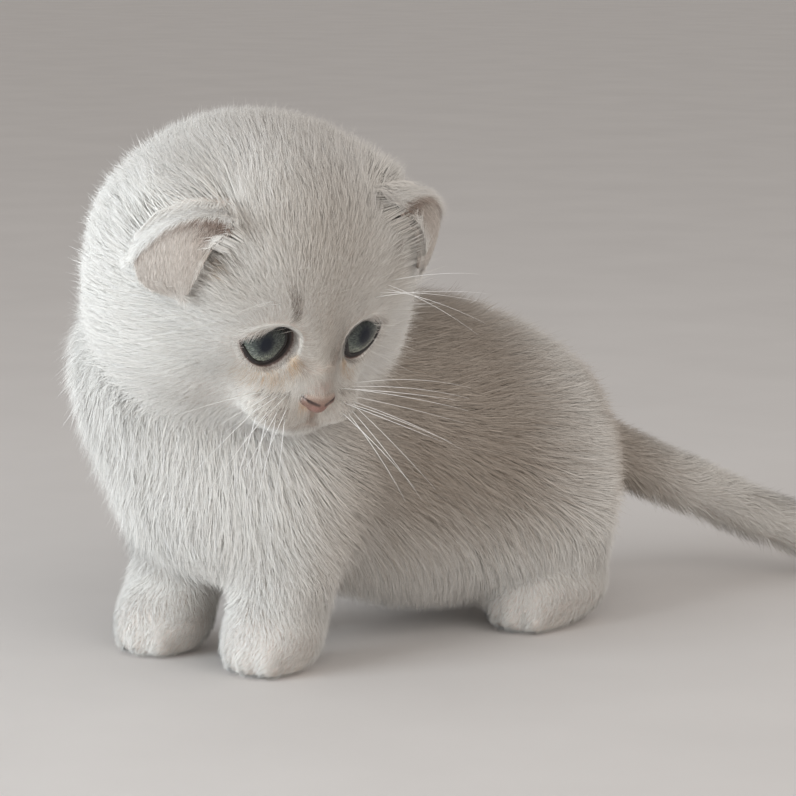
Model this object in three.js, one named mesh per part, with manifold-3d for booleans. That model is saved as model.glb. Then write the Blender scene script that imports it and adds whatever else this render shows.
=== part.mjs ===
// A Scottish Fold kitten of about seven weeks, life size, standing with its head turned to its left.
// Millimetres. +Z is up, the chest faces -Y, the kitten's left is +X, and the soles lie at Z = 0.
// The surfaces are the outside of the coat. One smooth field holds the whole body, which flat cuts part.
import * as THREE from "three";
import { mergeVertices } from "three/addons/utils/BufferGeometryUtils.js";
import Module from "manifold-3d";

const wasm = await Module();
wasm.setup();

// Driving dimensions
const headHalfWidth = 44;
const headHalfLength = 37.5;
const headAt = new THREE.Vector3(21.2, -58.4, 107);
const headTurnLeft = THREE.MathUtils.degToRad(82);
const headTipDown = THREE.MathUtils.degToRad(22);
const bodyHalfWidth = 34;
const pawHalfWidth = 11.5;
const pawHalfLength = 12;
const eyeRadius = 8.6;
const eyeApart = 28.4;
const seamGap = 0.3;

// Shapes of the field. Each gives the distance from a point to its surface, negative inside.
const ball = (at, half, softness = 10) => ({ kind: "ball", at, half, softness });
const limb = (from, to, fromRadius, toRadius, softness = 8) => ({
  kind: "limb", from, to, fromRadius, toRadius, softness,
});

function shapeDistance(shape, x, y, z) {
  if (shape.kind === "ball") {
    const [cx, cy, cz] = shape.at;
    const [a, b, c] = shape.half;
    const near = Math.hypot((x - cx) / a, (y - cy) / b, (z - cz) / c);
    const steep = Math.hypot((x - cx) / (a * a), (y - cy) / (b * b), (z - cz) / (c * c));
    return steep < 1e-9 ? -Math.min(a, b, c) : (near * (near - 1)) / steep;
  }
  const [ax, ay, az] = shape.from;
  const [bx, by, bz] = shape.to;
  const dx = bx - ax, dy = by - ay, dz = bz - az;
  const along = ((x - ax) * dx + (y - ay) * dy + (z - az) * dz) / (dx * dx + dy * dy + dz * dz);
  const t = Math.min(1, Math.max(0, along));
  const radius = shape.fromRadius + t * (shape.toRadius - shape.fromRadius);
  return Math.hypot(x - ax - t * dx, y - ay - t * dy, z - az - t * dz) - radius;
}

// A soft union: where two shapes lie within the softness of each other, a fillet joins them.
function softMin(a, b, softness) {
  const near = Math.max(softness - Math.abs(a - b), 0) / softness;
  return Math.min(a, b) - (near * near * softness) / 4;
}

function fieldOf(shapes) {
  return (x, y, z) => {
    let distance = Infinity;
    for (const shape of shapes)
      distance = distance === Infinity
        ? shapeDistance(shape, x, y, z)
        : softMin(distance, shapeDistance(shape, x, y, z), shape.softness);
    return distance;
  };
}

const mirrored = (shapes) => shapes.flatMap((s) => {
  const flip = ([x, y, z]) => [-x, y, z];
  const other = s.kind === "ball"
    ? { ...s, at: flip(s.at) }
    : { ...s, from: flip(s.from), to: flip(s.to) };
  return [s, other];
});

// Torso: chest, ribs, belly and rump
const torsoShapes = [
  ball([0, -20, 60], [bodyHalfWidth, 46, 39.5]),
  ball([0, 14, 51.5], [bodyHalfWidth + 1, 42, 42], 16),
  ball([0, 42, 46], [bodyHalfWidth - 1, 36, 36], 16),
  ball([-3, -56, 56], [bodyHalfWidth, 27, 34], 16),
];
const neckShapes = [ball([-8, -62, 80], [31, 30, 30], 14)];

// Head, in its own frame: it faces -Y, with its left at +X
const headShapes = [
  ball([0, 5, 2.4], [headHalfWidth, headHalfLength, headHalfLength]),
  ball([0, -13, 9], [29, 22, 25], 12),
  ...mirrored([ball([27, -5, 19], [11.5, 12, 11.5], 12)]),
  ...mirrored([ball([21, -1, -13], [21, 22, 19], 12)]),
  ball([0, -25, -16], [15, 12, 10.5], 10),
  ...mirrored([ball([6.8, -32.6, -20.2], [8.4, 6.8, 6], 5)]),
  limb([0, -28, 3], [0, -36.5, -12], 6.5, 4.2, 6),
  ball([0, -29, -25], [6.5, 6, 4], 4),
];

// Legs. A paw has four toes at its front.
const shoulderHeight = 52;
const foreLegs = [
  { side: 1, at: [16.5, -50.5], name: "left" },
  { side: -1, at: [-20.5, -58.5], name: "right" },
];
const hindLegs = [
  { side: 1, at: [24, 38], name: "left" },
  { side: -1, at: [-25, 48], name: "right" },
];

function pawShapes([x, y]) {
  const shapes = [ball([x, y - 1.5, 8.5], [pawHalfWidth, pawHalfLength, 10], 8)];
  [-1.45, -0.5, 0.5, 1.45].forEach((place) => {
    const back = Math.abs(place) > 1 ? 3.2 : 0;
    shapes.push(ball([x + place * 5.4, y - 9.5 + back, 6], [4.3, 5.4, 6.4], 1.6));
  });
  return shapes;
}

const foreLegShapes = ({ side, at: [x, y] }) => [
  ball([side * 21, -43, 58], [15, 22, 24], 12),
  limb([side * 21, -45.5, shoulderHeight], [x, y + 1.5, 12], 17, 12.3, 10),
  ...pawShapes([x, y]),
];
const hindLegShapes = ({ side, at: [x, y] }) => [
  ball([side * 23, 38, 42], [15, 26, 28], 10),
  limb([side * 24, 46, 32], [x, y + 10, 13], 15, 10.5, 10),
  limb([x, y + 10, 11], [x, y - 2, 10], 10.5, 10.5, 6),
  ...pawShapes([x, y - 2]),
];

// Tail: round lengths along a curve that comes down to the floor
const tailCurve = new THREE.CatmullRomCurve3([
  new THREE.Vector3(0, 62, 50),
  new THREE.Vector3(1, 82, 42),
  new THREE.Vector3(11, 114, 27),
  new THREE.Vector3(26, 142, 13.4),
  new THREE.Vector3(44, 157, 8),
  new THREE.Vector3(60, 160, 6.6),
]);
const tailRootRadius = 10;
const tailTipRadius = 6.2;
const tailSteps = 14;
const tailRadius = (t) => tailRootRadius + (tailTipRadius - tailRootRadius) * t;
const tailShapes = Array.from({ length: tailSteps }, (_, i) => {
  const from = i / tailSteps;
  const to = (i + 1) / tailSteps;
  return limb(
    tailCurve.getPoint(from).toArray(), tailCurve.getPoint(to).toArray(),
    tailRadius(from), tailRadius(to), 5,
  );
});

const headToBody = new THREE.Matrix4()
  .makeRotationZ(headTurnLeft)
  .multiply(new THREE.Matrix4().makeRotationX(headTipDown))
  .setPosition(headAt);
const bodyToHead = headToBody.clone().invert();

const trunkField = fieldOf([
  ...torsoShapes, ...neckShapes,
  ...foreLegs.flatMap(foreLegShapes), ...hindLegs.flatMap(hindLegShapes), ...tailShapes,
]);
const headField = fieldOf(headShapes);
const neckFillet = 12;
const point = new THREE.Vector3();
const bodyField = (x, y, z) => {
  point.set(x, y, z).applyMatrix4(bodyToHead);
  return softMin(trunkField(x, y, z), headField(point.x, point.y, point.z), neckFillet);
};
const bodyFieldFromHead = (x, y, z) => {
  point.set(x, y, z).applyMatrix4(headToBody);
  return softMin(headField(x, y, z), trunkField(point.x, point.y, point.z), neckFillet);
};

// Surface nets: one vertex in each cell that the surface crosses, one quad for each crossed grid edge
function surfaceOf(field, [lo, hi], stepAt) {
  const axes = [0, 1, 2].map((axis) => {
    const marks = [lo[axis]];
    while (marks.at(-1) < hi[axis]) marks.push(marks.at(-1) + stepAt(axis, marks.at(-1)));
    return marks;
  });
  const [xs, ys, zs] = axes;
  const counts = axes.map((marks) => marks.length);
  const inBox = (x, y, z) => Math.max(
    xs[1] - x, x - xs.at(-2), ys[1] - y, y - ys.at(-2), zs[1] - z, z - zs.at(-2),
  );
  const boxed = (x, y, z) => Math.max(field(x, y, z), inBox(x, y, z));
  const index = (i, j, k) => (i * counts[1] + j) * counts[2] + k;
  const values = new Float64Array(counts[0] * counts[1] * counts[2]);
  xs.forEach((x, i) => ys.forEach((y, j) => zs.forEach((z, k) => {
    values[index(i, j, k)] = boxed(x, y, z);
  })));
  const vertexOf = new Map();
  const vertices = [];
  const gradientStep = 0.05;
  function cellVertex(i, j, k) {
    const key = index(i, j, k);
    if (vertexOf.has(key)) return vertexOf.get(key);
    const sum = [0, 0, 0];
    let crossings = 0;
    for (let axis = 0; axis < 3; axis++)
      for (let side = 0; side < 4; side++) {
        const from = [i, j, k];
        from[(axis + 1) % 3] += side & 1;
        from[(axis + 2) % 3] += side >> 1;
        const to = [...from];
        to[axis] += 1;
        const a = values[index(...from)];
        const b = values[index(...to)];
        if (a < 0 === b < 0) continue;
        const share = a / (a - b);
        for (let n = 0; n < 3; n++)
          sum[n] += axes[n][from[n]] + share * (axes[n][to[n]] - axes[n][from[n]]);
        crossings++;
      }
    let p = sum.map((s) => s / crossings);
    for (let pass = 0; pass < 3; pass++) {
      const here = boxed(...p);
      const slope = [0, 1, 2].map((n) => {
        const moved = [...p];
        moved[n] += gradientStep;
        return (boxed(...moved) - here) / gradientStep;
      });
      const steep = slope.reduce((s, g) => s + g * g, 1e-6);
      p = p.map((c, n) => {
        const cell = [i, j, k][n];
        const moved = c - (here * slope[n]) / steep;
        return Math.min(axes[n][cell + 1], Math.max(axes[n][cell], moved));
      });
    }
    vertexOf.set(key, vertices.length / 3);
    vertices.push(...p);
    return vertexOf.get(key);
  }
  const faces = [];
  const apart = (a, b) => Math.hypot(...[0, 1, 2].map((n) => vertices[a * 3 + n] - vertices[b * 3 + n]));
  for (let i = 1; i < counts[0] - 1; i++)
    for (let j = 1; j < counts[1] - 1; j++)
      for (let k = 1; k < counts[2] - 1; k++)
        for (let axis = 0; axis < 3; axis++) {
          const far = [i, j, k];
          far[axis] += 1;
          const inside = values[index(i, j, k)] < 0;
          if (inside === values[index(...far)] < 0) continue;
          const around = [[-1, -1], [0, -1], [0, 0], [-1, 0]].map(([second, third]) => {
            const cell = [i, j, k];
            cell[(axis + 1) % 3] += second;
            cell[(axis + 2) % 3] += third;
            return cellVertex(...cell);
          });
          const [a, b, c, d] = inside ? around : around.reverse();
          if (apart(a, c) < apart(b, d)) faces.push(a, b, c, a, c, d);
          else faces.push(a, b, d, b, c, d);
        }
  return new THREE.BufferGeometry()
    .setAttribute("position", new THREE.Float32BufferAttribute(vertices, 3))
    .setIndex(faces);
}

// Solids, for joining and cutting
function solidOf(geometry, matrix = new THREE.Matrix4()) {
  const bare = new THREE.BufferGeometry()
    .setAttribute("position", geometry.getAttribute("position").clone())
    .setIndex(geometry.index)
    .applyMatrix4(matrix);
  const merged = mergeVertices(bare, 1e-4);
  const faces = new Uint32Array(merged.index.array);
  // A mirroring matrix turns each face inwards, so it is turned back.
  if (matrix.determinant() < 0)
    for (let i = 0; i < faces.length; i += 3)
      [faces[i + 1], faces[i + 2]] = [faces[i + 2], faces[i + 1]];
  return new wasm.Manifold(new wasm.Mesh({
    numProp: 3,
    vertProperties: merged.attributes.position.array,
    triVerts: faces,
  }));
}

const group = new THREE.Group();
group.name = "scottish_fold_kitten";

// Cutting leaves some very short edges. Each is drawn together into one point, where the surface
// round it stays closed: its two ends then share just the two corners that face the edge.
const shortestEdge = 0.03;
function withoutShortEdges(positions, triangles) {
  const corner = (v) => new THREE.Vector3().fromArray(positions, 3 * v);
  let faces = [];
  for (let i = 0; i < triangles.length; i += 3) faces.push([...triangles.slice(i, i + 3)]);
  for (let changed = true; changed;) {
    changed = false;
    const neighbours = new Map();
    for (const face of faces)
      face.forEach((v, n) => {
        if (!neighbours.has(v)) neighbours.set(v, new Set());
        neighbours.get(v).add(face[(n + 1) % 3]).add(face[(n + 2) % 3]);
      });
    const settled = new Set();
    const movedTo = new Map();
    for (const [a, around] of neighbours)
      for (const b of around) {
        if (a > b || settled.has(a) || settled.has(b)) continue;
        if (corner(a).distanceTo(corner(b)) >= shortestEdge) continue;
        const shared = [...around].filter((v) => neighbours.get(b).has(v));
        if (shared.length !== 2) continue;
        movedTo.set(b, a);
        for (const v of [a, b, ...around, ...neighbours.get(b)]) settled.add(v);
        changed = true;
      }
    faces = faces
      .map((face) => face.map((v) => movedTo.get(v) ?? v))
      .filter(([a, b, c]) => a !== b && b !== c && c !== a);
  }
  return faces.flat();
}

// A node keeps the largest of its closed surfaces.
function addNode(name, solid, material) {
  const largest = solid.decompose().sort((a, b) => b.volume() - a.volume())[0];
  const mesh = largest.getMesh();
  const geometry = new THREE.BufferGeometry()
    .setAttribute("position", new THREE.BufferAttribute(mesh.vertProperties, 3))
    .setIndex(withoutShortEdges(mesh.vertProperties, mesh.triVerts));
  geometry.computeVertexNormals();
  const node = new THREE.Mesh(geometry, material);
  node.name = name;
  group.add(node);
  return node;
}

const coat = new THREE.MeshStandardMaterial({ color: 0xe9e4dc, roughness: 0.95, metalness: 0 });
const earCoat = new THREE.MeshStandardMaterial({ color: 0xd8c9bf, roughness: 0.95, metalness: 0 });
const noseLeather = new THREE.MeshStandardMaterial({ color: 0xb98a7a, roughness: 0.45, metalness: 0 });
const eyeSurface = new THREE.MeshStandardMaterial({ color: 0x4f6468, roughness: 0.08, metalness: 0 });

// Cuts. A box that is turned about Y parts each leg from the torso along a slanted inner plane.
const boxSolid = (lo, hi, matrix) => {
  const size = hi.map((h, n) => h - lo[n]);
  const centre = hi.map((h, n) => (h + lo[n]) / 2);
  const placed = new THREE.Matrix4().makeTranslation(...centre);
  return solidOf(new THREE.BoxGeometry(...size), matrix ? matrix.clone().multiply(placed) : placed);
};
const far = 400;

function slantedBox(side, inner, yLow, yHigh, top, lean, grow) {
  const turn = new THREE.Matrix4()
    .makeTranslation(side * inner, 0, 0)
    .multiply(new THREE.Matrix4().makeRotationY(side * lean));
  const lo = [side > 0 ? -grow : -far, yLow - grow, -far];
  const hi = [side > 0 ? far : grow, yHigh + grow, top + grow];
  return boxSolid(lo, hi, turn);
}
const foreCut = (side, grow = 0) => slantedBox(side, 2.5, -90, -20, 58, 0.24, grow);
const hindCut = (side, grow = 0) => slantedBox(side, 3, 12, 70, 60, 0.24, grow);

// Flat cuts part the head from the neck beneath it and from the back behind it, and the neck from the torso.
const above = (matrix, raise) => boxSolid([-far, -far, raise], [far, far, far], matrix);
const facing = (at, towards) => new THREE.Matrix4()
  .makeRotationFromQuaternion(
    new THREE.Quaternion().setFromUnitVectors(new THREE.Vector3(0, 0, 1), towards.clone().normalize()),
  )
  .setPosition(at);
const neckTop = facing(new THREE.Vector3(4, -58, 90), new THREE.Vector3(0.48, 0, 0.88));
const neckBack = facing(new THREE.Vector3(21, -20, 91), new THREE.Vector3(0.38, -0.75, 0.54));
const neckFoot = facing(new THREE.Vector3(0, -46, 74), new THREE.Vector3(0, -0.48, 0.88));
const headSide = (raise) => above(neckTop, raise).intersect(above(neckBack, raise));

const floorCut = boxSolid([-far, -far, 0], [far, far, far]);
const even = (step) => () => step;

const headBox = [[-52, -52, -48], [52, 52, 48]];
const headStep = (axis, at) => (axis === 1 ? (at < -22 ? 3.2 : 6.4) : Math.abs(at) < 20 ? 3.3 : 5.6);
const headSurface = surfaceOf(bodyFieldFromHead, headBox, headStep);
const headWhole = solidOf(headSurface, headToBody);

// Eyes: balls in open sockets. Lids stand a little proud round an almond opening.
const lidThickness = 1.6;
const eyeForward = 24.4;
const eyeHeight = -2.2;
const gazeOut = 0.17;
// The outline of the opening, with the outer corner at +X and up at +Y
const openingOutline = [
  [6.9, 0.6], [4.9, 3.2], [1.2, 4.7], [-3, 4.6], [-5.9, 2.4],
  [-6.9, -1], [-5.3, -4.4], [-1.2, -6.7], [3, -5.8], [5.9, -3],
];
const openingDepth = 20;

function eyeMatrix(side) {
  const out = eyeApart / 2 - eyeRadius * Math.sin(gazeOut);
  return headToBody.clone()
    .multiply(new THREE.Matrix4().makeTranslation(side * out, -eyeForward, eyeHeight))
    .multiply(new THREE.Matrix4().makeRotationZ(side * gazeOut));
}
const ballGeometry = (radius, detail) => new THREE.SphereGeometry(radius, 2 * detail, detail);

function lidOpening(side) {
  const outline = new THREE.CatmullRomCurve3(openingOutline.map(([x, y]) => new THREE.Vector3(x, y, 0)), true);
  const shape = new THREE.Shape(outline.getPoints(20).slice(0, -1).map(({ x, y }) => new THREE.Vector2(x, y)));
  const prism = new THREE.ExtrudeGeometry(shape, { depth: openingDepth, bevelEnabled: false });
  return solidOf(prism, eyeMatrix(side)
    .multiply(new THREE.Matrix4().makeRotationX(Math.PI / 2))
    .multiply(new THREE.Matrix4().makeScale(side, 1, 1)));
}

let head = headWhole.intersect(headSide(seamGap / 2));
for (const side of [1, -1]) head = head.add(solidOf(ballGeometry(eyeRadius + lidThickness, 9), eyeMatrix(side)));
for (const side of [1, -1])
  head = head
    .subtract(solidOf(ballGeometry(eyeRadius + seamGap, 8), eyeMatrix(side)))
    .subtract(lidOpening(side));

// Nose leather, let into the muzzle, with two comma-shaped nostrils
const noseAt = [0, -38.2, -15.4];
const noseHalf = [4.6, 3.4, 3.2];
const nostrilHalf = [1.15, 2.2, 0.8];
function noseSolid(grow) {
  const geometry = new THREE.SphereGeometry(1, 14, 9);
  const position = geometry.getAttribute("position");
  for (let i = 0; i < position.count; i++) {
    const down = Math.max(0, -position.getZ(i));
    position.setXYZ(i,
      position.getX(i) * (noseHalf[0] + grow) * (1 - 0.45 * down),
      position.getY(i) * (noseHalf[1] + grow),
      position.getZ(i) * (noseHalf[2] + grow));
  }
  return solidOf(geometry, headToBody.clone().multiply(new THREE.Matrix4().makeTranslation(...noseAt)));
}
head = head.subtract(noseSolid(seamGap));
let nose = noseSolid(0);
for (const side of [1, -1])
  nose = nose.subtract(solidOf(new THREE.SphereGeometry(1, 8, 5), headToBody.clone()
    .multiply(new THREE.Matrix4().makeTranslation(side * 2.5, noseAt[1] - 2.6, noseAt[2] - 0.3))
    .multiply(new THREE.Matrix4().makeRotationY(side * 0.5))
    .multiply(new THREE.Matrix4().makeScale(...nostrilHalf))));

// A point on the head's surface, or above it, in the direction from the middle of the head
function overHead(direction, height) {
  const unit = direction.clone().normalize();
  let low = 10, high = 70;
  for (let pass = 0; pass < 30; pass++) {
    const middle = (low + high) / 2;
    if (headField(unit.x * middle, unit.y * middle, unit.z * middle) < height) low = middle;
    else high = middle;
  }
  return unit.multiplyScalar(low);
}

// The mouth is a groove: a short line down from the nose, and a lip line out and back to each side.
const grooveRadius = 0.8;
function groove(points, steps) {
  const path = new THREE.CatmullRomCurve3(points.map(([x, y, z]) => overHead(new THREE.Vector3(x, y, z), 0.1)));
  const section = new THREE.Shape().absarc(0, 0, grooveRadius, 0, Math.PI * 2);
  return solidOf(
    new THREE.ExtrudeGeometry(section, { steps, extrudePath: path, curveSegments: 4 }), headToBody,
  );
}
const lipHeight = -22.6;
const lipHalf = [[4, -34.5, lipHeight - 2.6], [8.5, -30, lipHeight - 2.2], [12.5, -24, lipHeight - 0.5]];
const lipLine = [
  ...lipHalf.map(([x, y, z]) => [-x, y, z]).reverse(),
  [0, -36, lipHeight],
  ...lipHalf,
];
head = head
  .subtract(groove([[0, -38, -16.4], [0, -38, -19.5], [0, -36, lipHeight - 0.4]], 3))
  .subtract(groove(lipLine, 16));

// Folded ears. Each is a thin shell that rises from the head, folds over and lies forward and down.
const earBack = new THREE.Vector3(-42.1, -12, 13.9);
const earTop = new THREE.Vector3(-33.6, -20.5, 30.6);
const earFront = new THREE.Vector3(-24.4, -25, 26.6);
const earTip = new THREE.Vector3(-35, -23.4, 9.4);
const earFold = new THREE.QuadraticBezierCurve3(earBack, earTop, earFront);
const earThickness = 2;
const foldHeight = 5.4;
const tipHeight = 4;
const rootDepth = -3;
const rootBack = 0.42;
// Both ears are carried turned a little about the line the head faces, the left one higher.
const earTurn = THREE.MathUtils.degToRad(2.5);

// u runs along the fold from -1 to 1, v from the root at -1 over the fold at 0 to the tip at 1.
function earPoint(side, u, v, lift) {
  const middle = earFold.getPoint(0.5);
  const fold = earFold.getPoint((u + 1) / 2);
  const domed = 0.78 + 0.22 * (1 - u * u);
  let direction, height;
  if (v >= 0) {
    const across = earFront.clone().sub(earBack).normalize();
    const reach = fold.clone().sub(earTip);
    const centred = middle.clone().sub(earTip).dot(across);
    const sideways = reach.dot(across);
    const rounding = Math.sqrt(1 - Math.min(v, 0.97) ** 2.2);
    direction = earTip.clone()
      .addScaledVector(reach.addScaledVector(across, -sideways), 1 - v)
      .addScaledVector(across, centred * (1 - v) + (sideways - centred) * rounding);
    height = (foldHeight + (tipHeight - foldHeight) * v) * domed;
  } else {
    const rise = Math.sqrt(1 - v * v);
    direction = middle.clone().lerp(earTip, v * rootBack)
      .addScaledVector(fold.sub(middle), 1 - 0.12 * v * v);
    height = rootDepth + (foldHeight * domed - rootDepth) * rise;
  }
  direction.applyAxisAngle(new THREE.Vector3(0, 1, 0), side * earTurn);
  return overHead(direction, height + lift);
}
function earGeometry(side) {
  const across = 10, along = 14;
  const points = [];
  for (const lift of [0, -earThickness])
    for (let j = 0; j <= along; j++)
      for (let i = 0; i <= across; i++) {
        const v = -1 + (2 * j) / along;
        const tuck = lift < 0 && v < 0 ? 1 + v : 1;
        points.push(...earPoint(side, -1 + (2 * i) / across, v, lift * tuck - (1 - tuck) * 1.2).toArray());
      }
  const row = across + 1;
  const sheet = row * (along + 1);
  const faces = [];
  const quad = (a, b, c, d) => faces.push(a, b, c, a, c, d);
  for (let j = 0; j < along; j++)
    for (let i = 0; i < across; i++) {
      const a = j * row + i;
      quad(a, a + row, a + 1 + row, a + 1);
      quad(a + 1 + sheet, a + 1 + row + sheet, a + row + sheet, a + sheet);
    }
  const rim = [];
  for (let i = 0; i < across; i++) rim.push(i);
  for (let j = 0; j < along; j++) rim.push(j * row + across);
  for (let i = across; i > 0; i--) rim.push(along * row + i);
  for (let j = along; j > 0; j--) rim.push(j * row);
  rim.forEach((a, n) => {
    const b = rim[(n + 1) % rim.length];
    quad(a, b, b + sheet, a + sheet);
  });
  return new THREE.BufferGeometry()
    .setAttribute("position", new THREE.Float32BufferAttribute(points, 3))
    .setIndex(faces);
}
const clearance = 1 + (1.2 * seamGap) / headHalfWidth;
const headGrown = solidOf(headSurface, headToBody.clone().multiply(
  new THREE.Matrix4().makeScale(clearance, clearance, clearance),
));
const earSolid = (side) => solidOf(earGeometry(side), headToBody.clone()
  .multiply(new THREE.Matrix4().makeScale(-side, 1, 1)))
  .subtract(headGrown);

addNode("head", head, coat);
addNode("nose", nose, noseLeather);
for (const [name, side] of [["left", 1], ["right", -1]]) {
  addNode("ear_" + name, earSolid(side), earCoat);
  addNode("eye_" + name, solidOf(ballGeometry(eyeRadius, 8), eyeMatrix(side)), eyeSurface);
}

// Neck, torso and legs are cut from one surface, with closer rows near the paws.
const pawTop = 15;
const trunkBox = [[-50, -104, 7], [50, 100, 118]];
const trunkStep = (axis, at) => (axis === 2 && at < 20 ? 3.2 : 6.6);
const trunkWhole = solidOf(surfaceOf(bodyField, trunkBox, trunkStep)).subtract(headSide(-seamGap / 2));
const legCuts = { fore: foreCut, hind: hindCut };
let trunk = trunkWhole;
for (const cut of Object.values(legCuts))
  for (const side of [1, -1]) trunk = trunk.subtract(cut(side, seamGap));
addNode("neck", trunk.intersect(above(neckFoot, seamGap / 2)), coat);

const tailBreaks = [0.16, 0.45, 0.74];
const tailPlane = (t) => facing(tailCurve.getPoint(t), tailCurve.getTangent(t));
addNode("torso", trunk
  .subtract(above(neckFoot, -seamGap / 2))
  .subtract(above(tailPlane(tailBreaks[0]), -seamGap / 2)), coat);

const tailBox = [[-16, 56, -7], [76, 176, 72]];
const tailWhole = solidOf(surfaceOf(bodyField, tailBox, even(5)))
  .intersect(floorCut)
  .subtract(hindCut(1, seamGap))
  .subtract(hindCut(-1, seamGap));
const tailNames = ["tail_root", "tail_middle", "tail_tip"];
tailNames.forEach((name, i) => {
  let length = tailWhole.intersect(above(tailPlane(tailBreaks[i]), seamGap / 2));
  if (i < 2) length = length.subtract(above(tailPlane(tailBreaks[i + 1]), -seamGap / 2));
  addNode(name, length, coat);
});

function addLeg(kind, leg) {
  const cut = legCuts[kind](leg.side);
  const [x, y] = leg.at;
  const upper = trunkWhole.intersect(cut).intersect(boxSolid([-far, -far, pawTop + seamGap], [far, far, far]));
  addNode(kind + "leg_" + leg.name, upper, coat);
  const pawBox = [[x - 20, y - 30, -6], [x + 20, y + 32, pawTop + 6]];
  const paw = solidOf(surfaceOf(bodyField, pawBox, even(3.7))).intersect(cut).intersect(floorCut);
  addNode(kind + "paw_" + leg.name, paw.subtract(boxSolid([-far, -far, pawTop], [far, far, far])), coat);
}
for (const leg of foreLegs) addLeg("fore", leg);
for (const leg of hindLegs) addLeg("hind", leg);

// The origin is the middle of the box round the whole kitten, at floor level.
const wholeBox = new THREE.Box3().setFromObject(group);
const middle = wholeBox.getCenter(new THREE.Vector3());
for (const node of group.children) node.geometry.translate(-middle.x, -middle.y, 0);

export default group;
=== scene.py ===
# %% [markdown]
# # A folded-ear kitten, life size
# This lesson dresses a plain kitten model in skin, eyes and fur. The plain model is the frame: it
# fixes every size and place, and nothing here moves it. The lesson keeps to one order:
# the frame, the camera and light, the shapes as numbers, one skin, the eyes, nose and ears, then
# the coat in tufts, and last the whiskers.

# %% Load the frame
from math import cos, pi, radians, sin

import bpy
import numpy as np
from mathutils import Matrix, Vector, kdtree


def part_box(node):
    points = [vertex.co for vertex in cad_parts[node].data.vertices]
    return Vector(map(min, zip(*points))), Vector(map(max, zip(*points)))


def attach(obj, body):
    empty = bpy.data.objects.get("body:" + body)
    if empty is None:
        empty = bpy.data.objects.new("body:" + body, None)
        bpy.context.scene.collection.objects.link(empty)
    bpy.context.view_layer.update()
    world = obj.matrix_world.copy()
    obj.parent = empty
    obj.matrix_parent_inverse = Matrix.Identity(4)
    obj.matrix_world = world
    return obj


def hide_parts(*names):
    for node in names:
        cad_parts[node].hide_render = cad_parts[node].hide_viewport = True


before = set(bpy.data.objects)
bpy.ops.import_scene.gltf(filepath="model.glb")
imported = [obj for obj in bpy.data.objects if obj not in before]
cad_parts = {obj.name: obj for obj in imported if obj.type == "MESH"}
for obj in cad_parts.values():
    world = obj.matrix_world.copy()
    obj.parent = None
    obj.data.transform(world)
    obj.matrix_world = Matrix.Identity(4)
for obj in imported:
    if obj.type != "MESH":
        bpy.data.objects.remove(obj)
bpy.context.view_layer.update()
rng = np.random.default_rng(7)
print("nodes in the frame:", len(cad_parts))

# %% [markdown]
# ## The kitten's own millimetres
# The body was designed in millimetres, with the chest towards -Y and the soles at height 0. The head
# has a frame of its own, turned left and tipped down, which makes a face easy to describe: -Y is
# forward, +X is the kitten's left, +Z is up. The left eye is a ball in both, so it tells how far the
# frame was shifted when it was centred.

# %% Two frames and the way between them
def turn_about_z(angle):
    return np.array([[cos(angle), -sin(angle), 0], [sin(angle), cos(angle), 0], [0, 0, 1]])


def turn_about_x(angle):
    return np.array([[1, 0, 0], [0, cos(angle), -sin(angle)], [0, sin(angle), cos(angle)]])


HEAD_AT = np.array([21.2, -58.4, 107.0])
HEAD_TURN = turn_about_z(radians(82)) @ turn_about_x(radians(22))
EYE_RADIUS = 8.6
GAZE_OUT = 0.17
EYE_OUT = 14.2 - EYE_RADIUS * sin(GAZE_OUT)
EYE_FORWARD = -24.4
EYE_UP = -2.2


def head_to_body(points):
    return np.asarray(points, float) @ HEAD_TURN.T + HEAD_AT


def body_to_head(points):
    return (np.asarray(points, float) - HEAD_AT) @ HEAD_TURN


def eye_centre(side):
    return head_to_body([side * EYE_OUT, EYE_FORWARD, EYE_UP])


left_eye_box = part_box("eye_left")
SHIFT = eye_centre(1) - 500 * np.array(left_eye_box[0] + left_eye_box[1])


def to_row(points):
    return (np.asarray(points, float) - SHIFT) / 1000


print("shift of the frame in mm:", SHIFT.round(2))

# %% [markdown]
# ## Camera
# A long lens from a little way off, slightly above the kitten's eye level. The place was found by
# matching the outline of the frame to the photograph.

# %% Camera
VIEW_AZIMUTH = radians(50)
VIEW_RISE = radians(9.3)
VIEW_DISTANCE = 800
VIEW_TARGET = np.array([48, -34, 75])
SENSOR_WIDTH = 36
FOCAL_PIXELS = 3136
PICTURE_PIXELS = 796
view_back = np.array([
    sin(VIEW_AZIMUTH) * cos(VIEW_RISE), -cos(VIEW_AZIMUTH) * cos(VIEW_RISE), sin(VIEW_RISE),
])
camera = bpy.data.objects.new("camera", bpy.data.cameras.new("camera"))
bpy.context.scene.collection.objects.link(camera)
camera.data.sensor_width = SENSOR_WIDTH
camera.data.lens = SENSOR_WIDTH * FOCAL_PIXELS / PICTURE_PIXELS
camera.data.clip_start = 0.05
camera.data.clip_end = 50
camera.location = to_row(VIEW_TARGET + VIEW_DISTANCE * view_back)
camera.rotation_mode = "QUATERNION"
camera.rotation_quaternion = Vector(-view_back).to_track_quat("-Z", "Y")
bpy.context.scene.camera = camera
print("lens in mm:", round(camera.data.lens, 1))

# %% [markdown]
# ## Floor and light
# A plain pale floor that fills the view. A soft lamp stands far to the left of the camera, as a window
# would, so the chest and the back of the head are cool and bright and the left flank falls into
# shade. A larger, warmer lamp in front and the sky lift the shade.

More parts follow.
